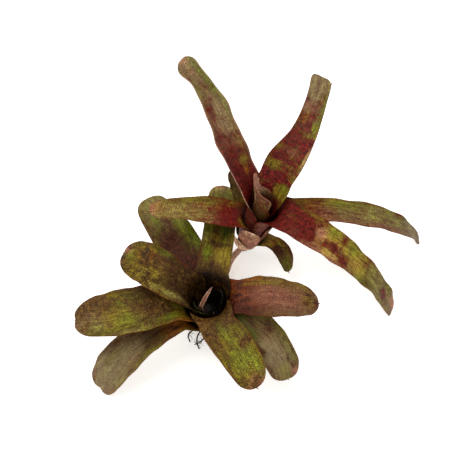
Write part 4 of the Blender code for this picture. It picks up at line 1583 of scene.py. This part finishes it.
PUP_LEAVES = (
    Leaf(
        "pup_heart_leaf", 0, 165, 52, 31, (79, 72), (13, 12.5, 9, 2.5), shift=(0, 6, 4, 0), wrap=150,
        toothed=False, form=Form(ripple=0.3),
        skin=Skin(
            bands=(Band(0.0, Tint.UMBER), Band(0.6, Tint.MAUVE), Band(1.0, Tint.ROSE)), red=(0.5, 0.5),
            grey=(0.1, 0.15, 0.5), blotch=Tint.RUST, dot=Tint.MAROON, margin=Tint.ROSE, inner=Tint.COCOA,
            outer=Tint.UMBER, dots=0.7, roughness=0.55,
            marks=(
                Mark(0.6, -0.6, 0.5, 0.6, Tint.BLUSH, red=-1.5),
                Mark(-0.3, 0.9, 0.3, 0.3, Tint.WINE, red=-0.2),
            ),
        ),
    ),
    Leaf(
        "pup_leaf_07", 1, 70, 56, 93, (40, 30, 0), (12, 14, 10, 8, 8.3), (-13, -5, 10),
        shift=(0, 0, -1.6, -0.4, 0), wrap=100,
        form=Form(tip_power=4.5, slant=-4.0, ripple=1.2, waves=3.0, mucro_bend=-40, mucro_at=-0.9),
        skin=Skin(
            bands=(
                Band(0.0, Tint.GOLD, left=Tint.COCOA), Band(0.12, Tint.BRONZE, right=Tint.LIME),
                Band(0.3, Tint.BRONZE, right=Tint.LIME), Band(0.55, Tint.BRONZE, right=Tint.LIME),
                Band(0.75, Tint.DRAB, right=Tint.LIME), Band(1.0, Tint.ASH, right=Tint.SAGE),
            ),
            red=(0.5, 0.6, 0.62, 0.5, 0.1), grey=(0.0, 0.1, 0.2, 0.5, 0.6), blotch=Tint.CRIMSON,
            dot=Tint.WINE, dots=0.6, along=7, across=14, inner=Tint.WINE, outer=Tint.CRIMSON,
            marks=(
                Spot(Tint.ASH, 8, 8, u=319, v=80, red=-0.3),
                Spot(Tint.ASH, 9, 6, u=316, v=93, red=-0.4),
                Spot(Tint.LEAF, 18, 3, u=327, v=112, red=-0.5),
                Spot(Tint.MAUVE, 5, 8, u=311, v=107),
                Spot(Tint.ORANGE, 6, 7, u=306, v=119, red=0.1),
                Spot(Tint.LIME, 6, 4, u=315, v=129, red=-0.6),
                Spot(Tint.WINE, 7, 9, u=293, v=138, red=0.6),
                Spot(Tint.CRIMSON, 6, 7, u=306, v=147, red=0.4),
                Spot(Tint.MAUVE, 5, 8, u=291, v=151, red=-0.2),
                Spot(Tint.CRIMSON, 5, 6, u=280, v=156, red=0.4),
                Mark(0.34, -0.95, 0.1, 0.16, Tint.TAN, red=-0.6),
                Spot(Tint.BRONZE, 7, 5, u=274, v=166, red=-0.6),
                Spot(Tint.WINE, 7, 12, u=278, v=176, red=0.6),
                Spot(Tint.OLIVE, 6, 8, u=284, v=189, red=-0.5),
                Spot(Tint.CRIMSON, 6, 4, u=267, v=188, red=0.4),
            ),
        ),
    ),
    Leaf(
        "pup_leaf_06", 2, 138, 56, 114, (40, 30, 5), (10, 11.5, 11, 8.3, 8.5),
        (5, -3, -10, -11, 2, -14), shift=(0, 0, 0, -1, -2.6, -1.6), wrap=115,
        form=Form(tip_power=2.4, slant=6.0, ripple=1.2, waves=3.5, mucro_bend=40, mucro_at=-0.6),
        skin=Skin(
            bands=(
                Band(0.0, Tint.WINE), Band(0.12, Tint.CRIMSON, left=Tint.WINE),
                Band(0.3, Tint.CRIMSON, right=Tint.BRONZE),
                Band(0.45, Tint.MAUVE, left=Tint.MAUVE, right=Tint.BRONZE),
                Band(0.72, Tint.DRAB, left=Tint.OLIVE, right=Tint.LEAF),
                Band(1.0, Tint.ASH, right=Tint.LEAF),
            ),
            red=(0.6, 0.5, 0.4, 0.3, 0.15), grey=(0.0, 0.15, 0.5, 0.6, 0.6), blotch=Tint.CRIMSON,
            dot=Tint.WINE, margin=Tint.BLUSH, dots=0.7, along=9, across=6, inner=Tint.WINE,
            outer=Tint.CRIMSON,
            marks=(
                Spot(Tint.ROSE, 7, 5, u=181, v=58),
                Spot(Tint.MAUVE, 5, 3, u=192, v=72),
                Mark(0.78, -0.9, 0.28, 0.5, Tint.LEAF, red=-0.3),
                Spot(Tint.RUST, 6, 4, u=209, v=113, red=0.4),
                Spot(Tint.ASH, 22, 7, u=224, v=120, red=-0.3),
                Spot(Tint.BRONZE, 12, 3, u=214, v=134),
                Spot(Tint.CRIMSON, 14, 7, u=231, v=150, red=0.2),
                Spot(Tint.GOLD, 6, 4, u=243, v=159, red=-0.5),
                Spot(Tint.ORANGE, 6, 3, u=246, v=170, red=-0.4),
                Spot(Tint.WINE, 14, 8, u=240, v=182, red=0.3),
                Spot(Tint.WINE, 8, 3, u=247, v=143),
                Spot(Tint.CRIMSON, 8, 4, u=247, v=195, red=-0.4),
                Mark(0.04, 1, 0.05, 0.12, Tint.BLUSH, red=-0.5),
            ),
        ),
    ),
    Leaf(
        "pup_leaf_05", 3, 329, 57, 126, (6, -25, -60), (12, 14, 13, 11, 9.5, 8.5), (2, 7, 8),
        wrap=81, rests=True,
        form=Form(ripple=0.8, waves=4.5, mucro_bend=-50),
        skin=Skin(
            bands=(
                Band(0.0, Tint.CRIMSON, left=Tint.COCOA),
                Band(0.15, Tint.CRIMSON, left=Tint.BRONZE, right=Tint.MAUVE),
                Band(0.32, Tint.LEMON, left=Tint.GOLD, right=Tint.ROSE),
                Band(0.6, Tint.GOLD, right=Tint.LIME),
                Band(0.8, Tint.SAGE, left=Tint.OLIVE), Band(1.0, Tint.DRAB),
            ),
            red=(0.6, 0.5, 0.3, 0.35, 0.3, 0.3), grey=(0.0, 0.1, 0.2, 0.4), blotch=Tint.CRIMSON,
            dot=Tint.MAROON, dots=0.6, along=6, across=10, inner=Tint.WINE, outer=Tint.MAUVE,
            marks=(
                Mark(-0.01, 0.4, 0.07, 0.5, Tint.DEEP, red=0.3),
                Spot(Tint.BRONZE, 6, 3, u=293, v=217, red=-0.3),
                Spot(Tint.WINE, 9, 6, u=303, v=220, red=0.5),
                Spot(Tint.CRIMSON, 9, 6, u=308, v=235, red=0.4),
                Spot(Tint.MAUVE, 8, 3, u=312, v=246, red=-0.3),
                Spot(Tint.ROSE, 6, 6, u=321, v=233, red=-0.4),
                Spot(Tint.LIME, 6, 6, u=334, v=233, red=-0.7),
                Spot(Tint.CRIMSON, 6, 7, u=333, v=248, red=0.5),
                Spot(Tint.LEMON, 5, 4, u=325, v=252, red=-0.5),
                Spot(Tint.RUST, 4, 7, u=345, v=243, red=0.4),
                Spot(Tint.LIME, 8, 6, u=353, v=250, red=-0.6),
                Spot(Tint.CRIMSON, 7, 7, u=343, v=262, red=0.4),
                Spot(Tint.LEMON, 7, 8, u=356, v=266, red=-0.3),
                Spot(Tint.RUST, 3, 6, u=371, v=261, red=0.4),
                Spot(Tint.SAGE, 12, 9, u=376, v=275, red=-0.5),
                Spot(Tint.OLIVE, 8, 6, u=366, v=284, red=-0.2),
                Spot(Tint.MAROON, 5, 5, u=382, v=294, red=0.5),
                Spot(Tint.ROSE, 6, 6, u=392, v=303, red=-0.3),
            ),
        ),
    ),
    Leaf(
        "pup_leaf_04", 3, 184, 37, 71, (14, 4, -6), (10, 12.2, 10.8, 8.4, 6.6), (-3, 0, 8),
        shift=(0, 1.1, 0.8, 0.4, 0.6), wrap=60,
        form=Form(ripple=0.5, waves=3.0, tip_power=3.0, slant=1.0),
        skin=Skin(
            bands=(
                Band(0.0, Tint.RUST, right=Tint.BRONZE),
                Band(0.18, Tint.RUST, left=Tint.CRIMSON, right=Tint.OLIVE),
                Band(0.42, Tint.SAGE, left=Tint.DRAB, right=Tint.OLIVE),
                Band(0.8, Tint.SAGE, right=Tint.OLIVE),
                Band(1.0, Tint.LEMON, left=Tint.SAGE, right=Tint.ROSE),
            ),
            red=(0.5, 0.45, 0.3, 0.2), grey=(0.0, 0.1, 0.3), blotch=Tint.CRIMSON, dot=Tint.CRIMSON,
            dots=0.9,
            along=6, across=5, inner=Tint.WINE, outer=Tint.CRIMSON,
            marks=(
                Spot(Tint.ROSE, 6, 8, u=147, v=213),
                Spot(Tint.SAGE, 24, 6, u=170, v=214, red=-0.3),
                Spot(Tint.OLIVE, 30, 2, u=190, v=201, red=-0.3),
                Spot(Tint.SAGE, 24, 2, u=180, v=221, red=-0.4),
                Mark(0.16, 0.3, 0.1, 0.6, Tint.RUST, red=0.4),
                Mark(0, 0.6, 0.06, 0.5, Tint.GOLD, red=-0.4),
            ),
        ),
    ),
    Leaf(
        "pup_leaf_03", 4, 10, 50, 132, (5, -15, -65), (8, 10.2, 10.8, 10.5, 8, 5), (-5, -10, -8),
        shift=(-1, -2.2, -2.2, -1.6, -0.8, 0), rests=True,
        form=Form(ripple=0.7, waves=4.0, mucro_bend=-20),
        skin=Skin(
            bands=(
                Band(0.0, Tint.RUST, left=Tint.ORANGE),
                Band(0.15, Tint.ORANGE, left=Tint.BRONZE, right=Tint.MAUVE),
                Band(0.35, Tint.SAGE, left=Tint.BRONZE, right=Tint.MAUVE),
                Band(0.5, Tint.SAGE, left=Tint.LEAF, right=Tint.DRAB),
                Band(0.8, Tint.SAGE, left=Tint.LEAF, right=Tint.DRAB), Band(1.0, Tint.DRAB),
            ),
            red=(0.4, 0.3, 0.3, 0.3), grey=(0.0, 0.2, 0.4, 0.5), blotch=Tint.CRIMSON, dot=Tint.MAROON,
            dots=0.7, along=16, across=3, inner=Tint.WINE, outer=Tint.MAUVE,
            marks=(
                Mark(0.05, 0.1, 0.07, 0.9, Tint.GOLD, red=-0.1),
                Spot(Tint.RUST, 8, 3, u=303, v=216, red=0.4),
                Spot(Tint.MAUVE, 12, 6, u=325, v=213, red=0.1),
                Spot(Tint.LIME, 16, 4, u=345, v=205, red=-0.4),
                Mark(0.39, -0.2, 0.1, 0.3, Tint.DRAB, red=0.1),
                Spot(Tint.SAGE, 16, 7, u=378, v=211, red=-0.3),
                Spot(Tint.BRONZE, 14, 2, u=370, v=202, red=0.2),
                Spot(Tint.MAUVE, 20, 3, u=385, v=228, red=0.2),
                Spot(Tint.RUST, 5, 3, u=399, v=213, red=0.4),
                Spot(Tint.ASH, 8, 7, u=412, v=230, red=-0.2),
            ),
        ),
    ),
    Leaf(
        "pup_leaf_02", 5, 122, 30, 31, (30, 22, 12), (6, 6.8, 5.4), (0, -8, -20), wrap=44,
        skin=Skin(
            bands=(
                Band(0.0, Tint.BRONZE, right=Tint.RUST),
                Band(0.5, Tint.UMBER, left=Tint.OLIVE, right=Tint.MAROON),
                Band(1.0, Tint.UMBER, left=Tint.MAROON),
            ),
            red=(0.2, 0.4, 0.5), inner=Tint.BRONZE, outer=Tint.MAUVE, blotch=Tint.COCOA,
        ),
    ),
    Leaf(
        "pup_leaf_01", 5, 324, 21, 30, (0, -25, -35), (5.2, 6.8, 6.2, 3), (-12, -22),
        shift=(0.5, 2, 2.2, 0.8), wrap=36,
        form=Form(ripple=0.15, crease=0.2),
        skin=Skin(
            bands=(
                Band(0.0, Tint.LEMON, right=Tint.ORANGE),
                Band(0.16, Tint.ORANGE, left=Tint.RUST, right=Tint.BRONZE),
                Band(0.4, Tint.MAROON, left=Tint.RUST, right=Tint.OLIVE),
                Band(1.0, Tint.OLIVE, left=Tint.SAGE),
            ),
            red=(0.0, 0.5, 0.4, 0.2), inner=Tint.GOLD, outer=Tint.MAUVE, along=6, across=3,
            marks=(
                Mark(0.02, 0.3, 0.16, 1.4, Tint.LEMON, red=-0.9),
                Mark(0.38, -0.1, 0.13, 0.7, Tint.MAROON, red=0.6),
                Spot(Tint.GOLD, 10, 3, u=282, v=246, red=-0.4),
                Spot(Tint.DEEP, 12, 2, u=272, v=255, red=0.4),
                Spot(Tint.OLIVE, 6, 5, u=286, v=263, red=-0.2),
            ),
        ),
    ),
    Leaf(
        "pup_pink_bract", 6, 250, 40, 8, (84, 80), (7, 5), wrap=32, channel=0.0, toothed=False,
        skin=Skin(
            bands=(Band(0.0, Tint.ROSE), Band(1.0, Tint.BLUSH)), red=(0.35, 0.2), grey=(0.1, 0.2),
            blotch=Tint.MAUVE, margin=Tint.BLUSH, inner=Tint.RUST, outer=Tint.ROSE, dots=0.3, roughness=0.5,
        ),
    ),
    Leaf(
        "pup_tan_bract", 7, 222, 24, 4, (77, 77), (7, 6), wrap=40, channel=0.0, toothed=False,
        skin=Skin(
            bands=(Band(0.0, Tint.BLUSH), Band(1.0, Tint.BLUSH)), red=(0.1, 0.25), grey=(0.0, 0.0),
            blotch=Tint.TAN, dot=Tint.DRAB, margin=Tint.CREAM, inner=Tint.TAN, outer=Tint.BLUSH,
            dots=0.3, roughness=0.6,
        ),
    ),
)


@dataclass
class Plantlet:
    """A rosette with all its leaves and scales."""

    rosette: Rosette
    leaves: tuple[Leaf, ...]
    inner: tuple[str, ...]
    finishes: Finishes

    def slot_for(self, leaf: Leaf) -> str:
        """The record's slot that a leaf's finish belongs to."""
        if leaf.name.endswith("bract"):
            return "bract"
        kind = "inner_leaf" if leaf.name in self.inner else "leaf"
        return f"{self.rosette.name}_{kind}"

    def build(self) -> list[bpy.types.Object]:
        """Builds every leaf."""
        return [leaf.build(self.rosette, self.slot_for(leaf), self.finishes) for leaf in self.leaves]


@dataclass
class Stem:
    """A short stem, turned from its profile, with the scars of shed leaves."""

    rosette: Rosette
    profile: tuple[Values, ...]
    finishes: Finishes
    rows: int = 90
    sides: int = 72
    scar_spacing: float = 1.9

    def build(self) -> bpy.types.Object:
        """Meshes and dresses the stem."""
        profile = np.array(self.profile[::-1])
        length = np.concatenate([[0.0], np.cumsum(np.linalg.norm(np.diff(profile, axis=0), axis=1))])
        at = np.linspace(0.0, length[-1], self.rows)
        radius, height = (np.interp(at, length, profile[:, axis]) for axis in range(2))
        angle = np.linspace(0.0, 2 * math.pi, self.sides, endpoint=False)
        height, turn = np.meshgrid(height, angle, indexing="ij")
        wander = 0.35 * np.sin(turn * 3 + 1.0) + 0.25 * np.sin(turn * 7)
        scar = np.abs(np.sin(math.pi * (height + wander) / self.scar_spacing)) ** 6
        rough = 0.1 * np.sin(turn * 23 + height * 1.3) + 0.08 * np.sin(turn * 41)
        middle = np.clip(radius[:, None] / 2.0, 0.0, 1.0)
        wide = radius[:, None] - middle * (0.3 * scar + 0.18 + rough)
        wide = np.maximum(wide, 0.02)
        points = np.stack([wide * np.cos(turn), wide * np.sin(turn), height], axis=-1).reshape(-1, 3)
        faces = ring_faces(self.rows, self.sides)
        tone = np.array(Tint.BARK.linear()) * (1 - 0.5 * scar.reshape(-1, 1))
        # Painted shade: the stem's top, down in the cup, darkens to near-black over its last ten millimetres
        cup_shade = smooth_step((height - height.max() + 10.0) / 6.0).reshape(-1, 1)
        tone = tone * (1 - cup_shade) + np.array(Tint.SHADE.linear()) * cup_shade
        place = np.stack([height.ravel(), turn.ravel() * 4.0, np.zeros(height.size)], axis=1)
        mesh = Mesh(points, faces, {"place": place, "tone": tone})
        name = f"{self.rosette.name}_stem"
        material = self.finishes.fibrous(f"{name}_bark", Tint.SOIL, 0.5, 0.6, 0.7)
        piece = make_piece(f"fine_{name}", mesh, self.rosette.matrix(), material)
        settle(piece, name)
        return piece


@dataclass
class Runner:
    """The stout runner that joins the rosettes, with its clasping papery scales."""

    finishes: Finishes
    path: tuple[Values, ...] = (
        (2.2, 5.6, 6.6), (5.0, 15.4, 5.2), (14.2, 44.0, 4.6), (16.6, 51.4, 4.44), (24.6, 61.4, 5.0),
    )
    radii: Values = (2.6, 3.2, 3.2, 3.2, 2.4)
    scales: tuple[Values, ...] = ((1.5, 13.0, 4.6, 20.0), (16.0, 13.0, 4.4, -20.0))
    scale_wrap: float = 110.0

    def build(self) -> list[bpy.types.Object]:
        """Builds the runner and its scales."""
        return [self.stalk()] + [self.scale(index + 1, *sizes) for index, sizes in enumerate(self.scales)]

    def stalk(self) -> bpy.types.Object:
        """The runner itself, with a ring at each joint and shallow ridges along it."""
        count, sides = 130, 40
        path = smooth_path(self.path, count)
        share = np.linspace(0.0, 1.0, count)
        length = share * 61.0
        radius = np.interp(share, (0.0, 0.17, 0.66, 0.79, 1.0), self.radii)
        radius = radius - 0.12 - 0.16 * np.abs(np.sin(math.pi * length / 8.5)) ** 12
        angle = np.linspace(0.0, 2 * math.pi, sides, endpoint=False)
        ridges = 0.07 * np.sin(angle * 9)[None, :] * np.ones((count, 1))
        tone = np.repeat(np.array([Tint.BLUSH.linear()]), count, axis=0)
        tone = tone * (1 - 0.35 * np.abs(np.sin(math.pi * length / 8.5))[:, None] ** 8)
        mesh = tube(path, radius[:, None] + ridges - 0.07, sides, tone, 7.0)
        material = self.finishes.fibrous("runner_skin", Tint.TAN, 0.5, 0.7, 0.55)
        piece = make_piece("fine_runner", mesh, Matrix.Identity(4), material)
        settle(piece, "runner")
        return piece

    def scale(
        self, number: int, start: float, length: float, reach: float, turned: float
    ) -> bpy.types.Object:
        """A papery scale that clasps the runner and flares from it, torn along its free edge.

        Args:
            number: the scale's number.
            start: how far along the runner it starts.
            length: how long it is.
            reach: how far from the runner's middle its free edge stands.
            turned: how far its middle is turned from the top of the runner.

        Returns:
            The finished piece.
        """
        first, second = (np.array(self.path[index]) for index in (1, 2))
        way = (second - first) / np.linalg.norm(second - first)
        side = np.cross(way, (0.0, 0.0, 1.0))
        side /= np.linalg.norm(side)
        top = np.cross(side, way)
        rows, columns = 36, 45
        share = np.linspace(0.0, 1.0, rows)[:, None]
        across = np.linspace(-1.0, 1.0, columns)[None, :]
        chance = np.random.default_rng(number)
        torn = np.interp(across[0], np.linspace(-1, 1, 23), chance.uniform(-0.09, 0.0, 23))[None, :]
        inner = 3.2 + CLEARANCE + 0.3
        radius = inner + (reach - inner) * share**1.6 + 0.1 * np.sin(across * 19) * share
        half = math.radians(self.scale_wrap) * (1 - 0.75 * share**2)
        angle = math.radians(turned) + half * across
        out = top * np.cos(angle)[..., None] + side * np.sin(angle)[..., None]
        distance = (start + length * (share + torn * share))[..., None]
        middle = first + way * distance + out * radius[..., None]
        sheets = []
        for thick in (0.22, -0.22):
            points = (middle + out * thick).reshape(-1, 3)
            paler = 0.75 + 0.35 * np.repeat(share, columns, axis=1).reshape(-1, 1)
            tone = np.array(Tint.TAN.linear()) * paler
            place = np.stack(
                [
                    np.repeat(share * length, columns, axis=1).ravel(),
                    (np.repeat(across, rows, axis=0) * 6).ravel(),
                    np.full(rows * columns, number * 9.0),
                ],
                axis=1,
            )
            sheets.append(
                Mesh(points, grid_faces(rows, columns, flip=thick > 0), {"place": place, "tone": tone})
            )
        mesh = Mesh.joined(sheets)
        mesh.faces.extend(rim_faces(rows, columns, flip=True))
        name = f"runner_bract_{number:02d}"
        material = self.finishes.fibrous(f"{name}_paper", Tint.RUST, 0.35, 0.5, 0.65)
        piece = make_piece(f"fine_{name}", mesh, Matrix.Identity(4), material)
        settle(piece, name)
        return piece


@dataclass
class Roots:
    """The wiry roots at the mother's foot, with their side roots."""

    finishes: Finishes
    radius: float = 0.7
    taper: Values = (1.0, 0.95, 0.85, 0.75)
    paths: tuple = (
        ((-3.4, -5.2, 3.4), (-6.5, -8.5, 3.0), (-8.0, -14.0, 1.2), (-6.2, -20.0, 0.7)),
        ((-5.2, -3.4, 2.6), (-10.0, -5.0, 2.4), (-14.5, -9.0, 1.0), (-13.0, -14.5, 0.7)),
        ((-0.4, -6.2, 4.2), (-1.6, -11.0, 3.8), (-5.0, -15.5, 4.6), (-9.6, -17.5, 3.0)),
        ((3.6, -5.0, 2.4), (7.5, -9.5, 1.6), (12.5, -12.5, 0.8), (18.0, -11.0, 0.7)),
        ((-6.1, 1.4, 3.0), (-12.0, 3.6, 2.4), (-17.0, 2.0, 1.0), (-22.0, 4.5, 0.7)),
    )
    side_roots: int = 5

    def build(self) -> list[bpy.types.Object]:
        """Builds every root."""
        return [self.root(number, path) for number, path in enumerate(self.paths, start=1)]

    def root(self, number: int, points: tuple) -> bpy.types.Object:
        """One root with its side roots."""
        chance = np.random.default_rng(number + 40)
        count = 60
        path = smooth_path(points, count)
        share = np.linspace(0.0, 1.0, count)
        radius = self.radius * np.interp(share, np.linspace(0, 1, 4), self.taper)
        radius = radius * (0.86 + 0.1 * np.sin(share * 41 + number) + 0.04 * np.sin(share * 97))
        parts = [tube(path, radius, 10, self.tones(share), number * 11.0)]
        for _ in range(self.side_roots):
            parts.append(self.side_root(path, chance, number))
        material = self.finishes.fibrous(f"root_{number:02d}_skin", Tint.SOIL, 0.55, 0.3, 0.75)
        piece = make_piece(f"fine_root_{number:02d}", Mesh.joined(parts), Matrix.Identity(4), material)
        settle(piece, f"root_{number:02d}")
        return piece

    @staticmethod
    def tones(share: np.ndarray) -> np.ndarray:
        """A root's colour along its length, from dark bark to a paler end."""
        dark, pale = np.array(Tint.SOIL.linear()), np.array(Tint.TAN.linear())
        return dark + (pale - dark) * (0.1 + 0.35 * np.sin(share * 9.0)[:, None] ** 2 * share[:, None])

    def side_root(self, path: np.ndarray, chance: np.random.Generator, number: int) -> Mesh:
        """A thin root that leaves the main one and comes down to the ground."""
        start = path[int(chance.integers(12, 50))]
        angle = chance.uniform(0, 2 * math.pi)
        reach = chance.uniform(2.5, 5.5)
        out = np.array([math.cos(angle), math.sin(angle), 0.0])
        steps = np.linspace(0.0, 1.0, 14)[:, None]
        curl = np.array([-out[1], out[0], 0.0]) * np.sin(steps * chance.uniform(2, 5)) * 0.9
        end_height = 0.35 - start[2]
        line = start + out * steps * reach + curl + np.array([0, 0, 1.0]) * end_height * steps**0.8
        radius = 0.24 * (1 - 0.6 * steps[:, 0])
        return tube(line, radius, 6, self.tones(steps[:, 0]), number * 5.0)


@dataclass
class Studio:
    """The plain pale floor, the soft light and the camera at the photograph's angle."""

    view: PhotoView = PHOTO
    floor_size: float = 6000.0

    def build(self) -> None:
        """Sets up the floor, the lights and the camera."""
        self.floor()
        self.lights()
        self.camera()
        bpy.context.scene.view_settings.view_transform = "Standard"

    def floor(self) -> None:
        """A level sheet of pale paper."""
        half = self.floor_size / 2 * MM
        data = bpy.data.meshes.new("floor")
        corners = [(-half, -half, 0), (half, -half, 0), (half, half, 0), (-half, half, 0)]
        data.from_pydata(corners, [], [(0, 1, 2, 3)])
        made, graph, shader = Finishes.material("paper")
        where = graph.node("ShaderNodeNewGeometry").outputs["Position"]
        grain = graph.noise(graph.vector("MULTIPLY", where, (40.0, 40.0, 40.0)), 3.0)
        graph.feed(shader.inputs["Base Color"], graph.blend(grain, (0.93, 0.925, 0.91), (0.96, 0.955, 0.945)))
        shader.inputs["Roughness"].default_value = 0.9
        shader.inputs["Specular IOR Level"].default_value = 0.1
        shader.inputs["Emission Color"].default_value = (1.0, 0.985, 0.95, 1.0)
        shader.inputs["Emission Strength"].default_value = 0.5
        data.materials.append(made)
        floor = bpy.data.objects.new("floor", data)
        bpy.context.scene.collection.objects.link(floor)

    def lights(self) -> None:
        """A white room and one broad lamp overhead."""
        world = bpy.data.worlds.new("room")
        world.use_nodes = True
        world.node_tree.nodes["Background"].inputs["Color"].default_value = (1.0, 1.0, 1.0, 1.0)
        world.node_tree.nodes["Background"].inputs["Strength"].default_value = 0.5
        bpy.context.scene.world = world
        for name, place, size, power in (
            ("overhead", (-350.0, 350.0, 1050.0), 0.9, 11.0),
            ("front", (400.0, -700.0, 800.0), 0.6, 3.0),
        ):
            lamp = bpy.data.lights.new(name, "AREA")
            lamp.size = size
            lamp.energy = power
            made = bpy.data.objects.new(name, lamp)
            made.location = Vector(place) * MM
            towards = Vector(self.view.target) * MM - made.location
            made.rotation_euler = towards.to_track_quat("-Z", "Y").to_euler()
            bpy.context.scene.collection.objects.link(made)

    def camera(self) -> None:
        """A camera that looks along +Y and down, as far off as the photograph's seems."""
        lens = bpy.data.cameras.new("camera")
        lens.sensor_width = 36.0
        lens.lens = lens.sensor_width * self.view.distance / self.view.width_seen
        made = bpy.data.objects.new("camera", lens)
        angle = math.radians(self.view.elevation)
        back = Vector((0.0, -math.cos(angle), math.sin(angle))) * self.view.distance
        made.location = (Vector(self.view.target) + back) * MM
        made.rotation_euler = (math.radians(90.0 - self.view.elevation), 0.0, 0.0)
        bpy.context.scene.collection.objects.link(made)
        bpy.context.scene.camera = made


MOTHER_STEM = (
    (0.0, 32.0), (1.8, 31.7), (3.4, 30.8), (4.4, 29.4), (4.8, 27.0), (4.8, 15.0),
    (5.3, 12.0), (5.6, 6.0), (5.6, 1.2), (4.9, 0.0), (0.0, 0.0),
)
PUP_STEM = (
    (0.0, 27.0), (1.4, 26.6), (2.6, 25.6), (3.3, 24.2), (3.6, 22.0), (3.6, 10.0),
    (3.9, 7.0), (4.0, 3.4), (3.4, 1.4), (2.2, 0.4), (0.0, 0.0),
)


def main() -> None:
    """Builds every piece and the studio."""
    logging.basicConfig(level=logging.INFO, format="%(name)s: %(message)s")
    finishes = Finishes()
    mother_inner = ("mother_heart_leaf", "mother_leaf_09", "mother_leaf_10", "mother_leaf_11")
    assemblies = (
        Plantlet(MOTHER, MOTHER_LEAVES, mother_inner, finishes),
        Plantlet(PUP, PUP_LEAVES, ("pup_heart_leaf",), finishes),
        Stem(MOTHER, MOTHER_STEM, finishes),
        Stem(PUP, PUP_STEM, finishes),
        Runner(finishes),
        Roots(finishes),
    )
    for assembly in assemblies:
        assembly.build()
    Studio().build()


if __name__ == "__main__":
    main()
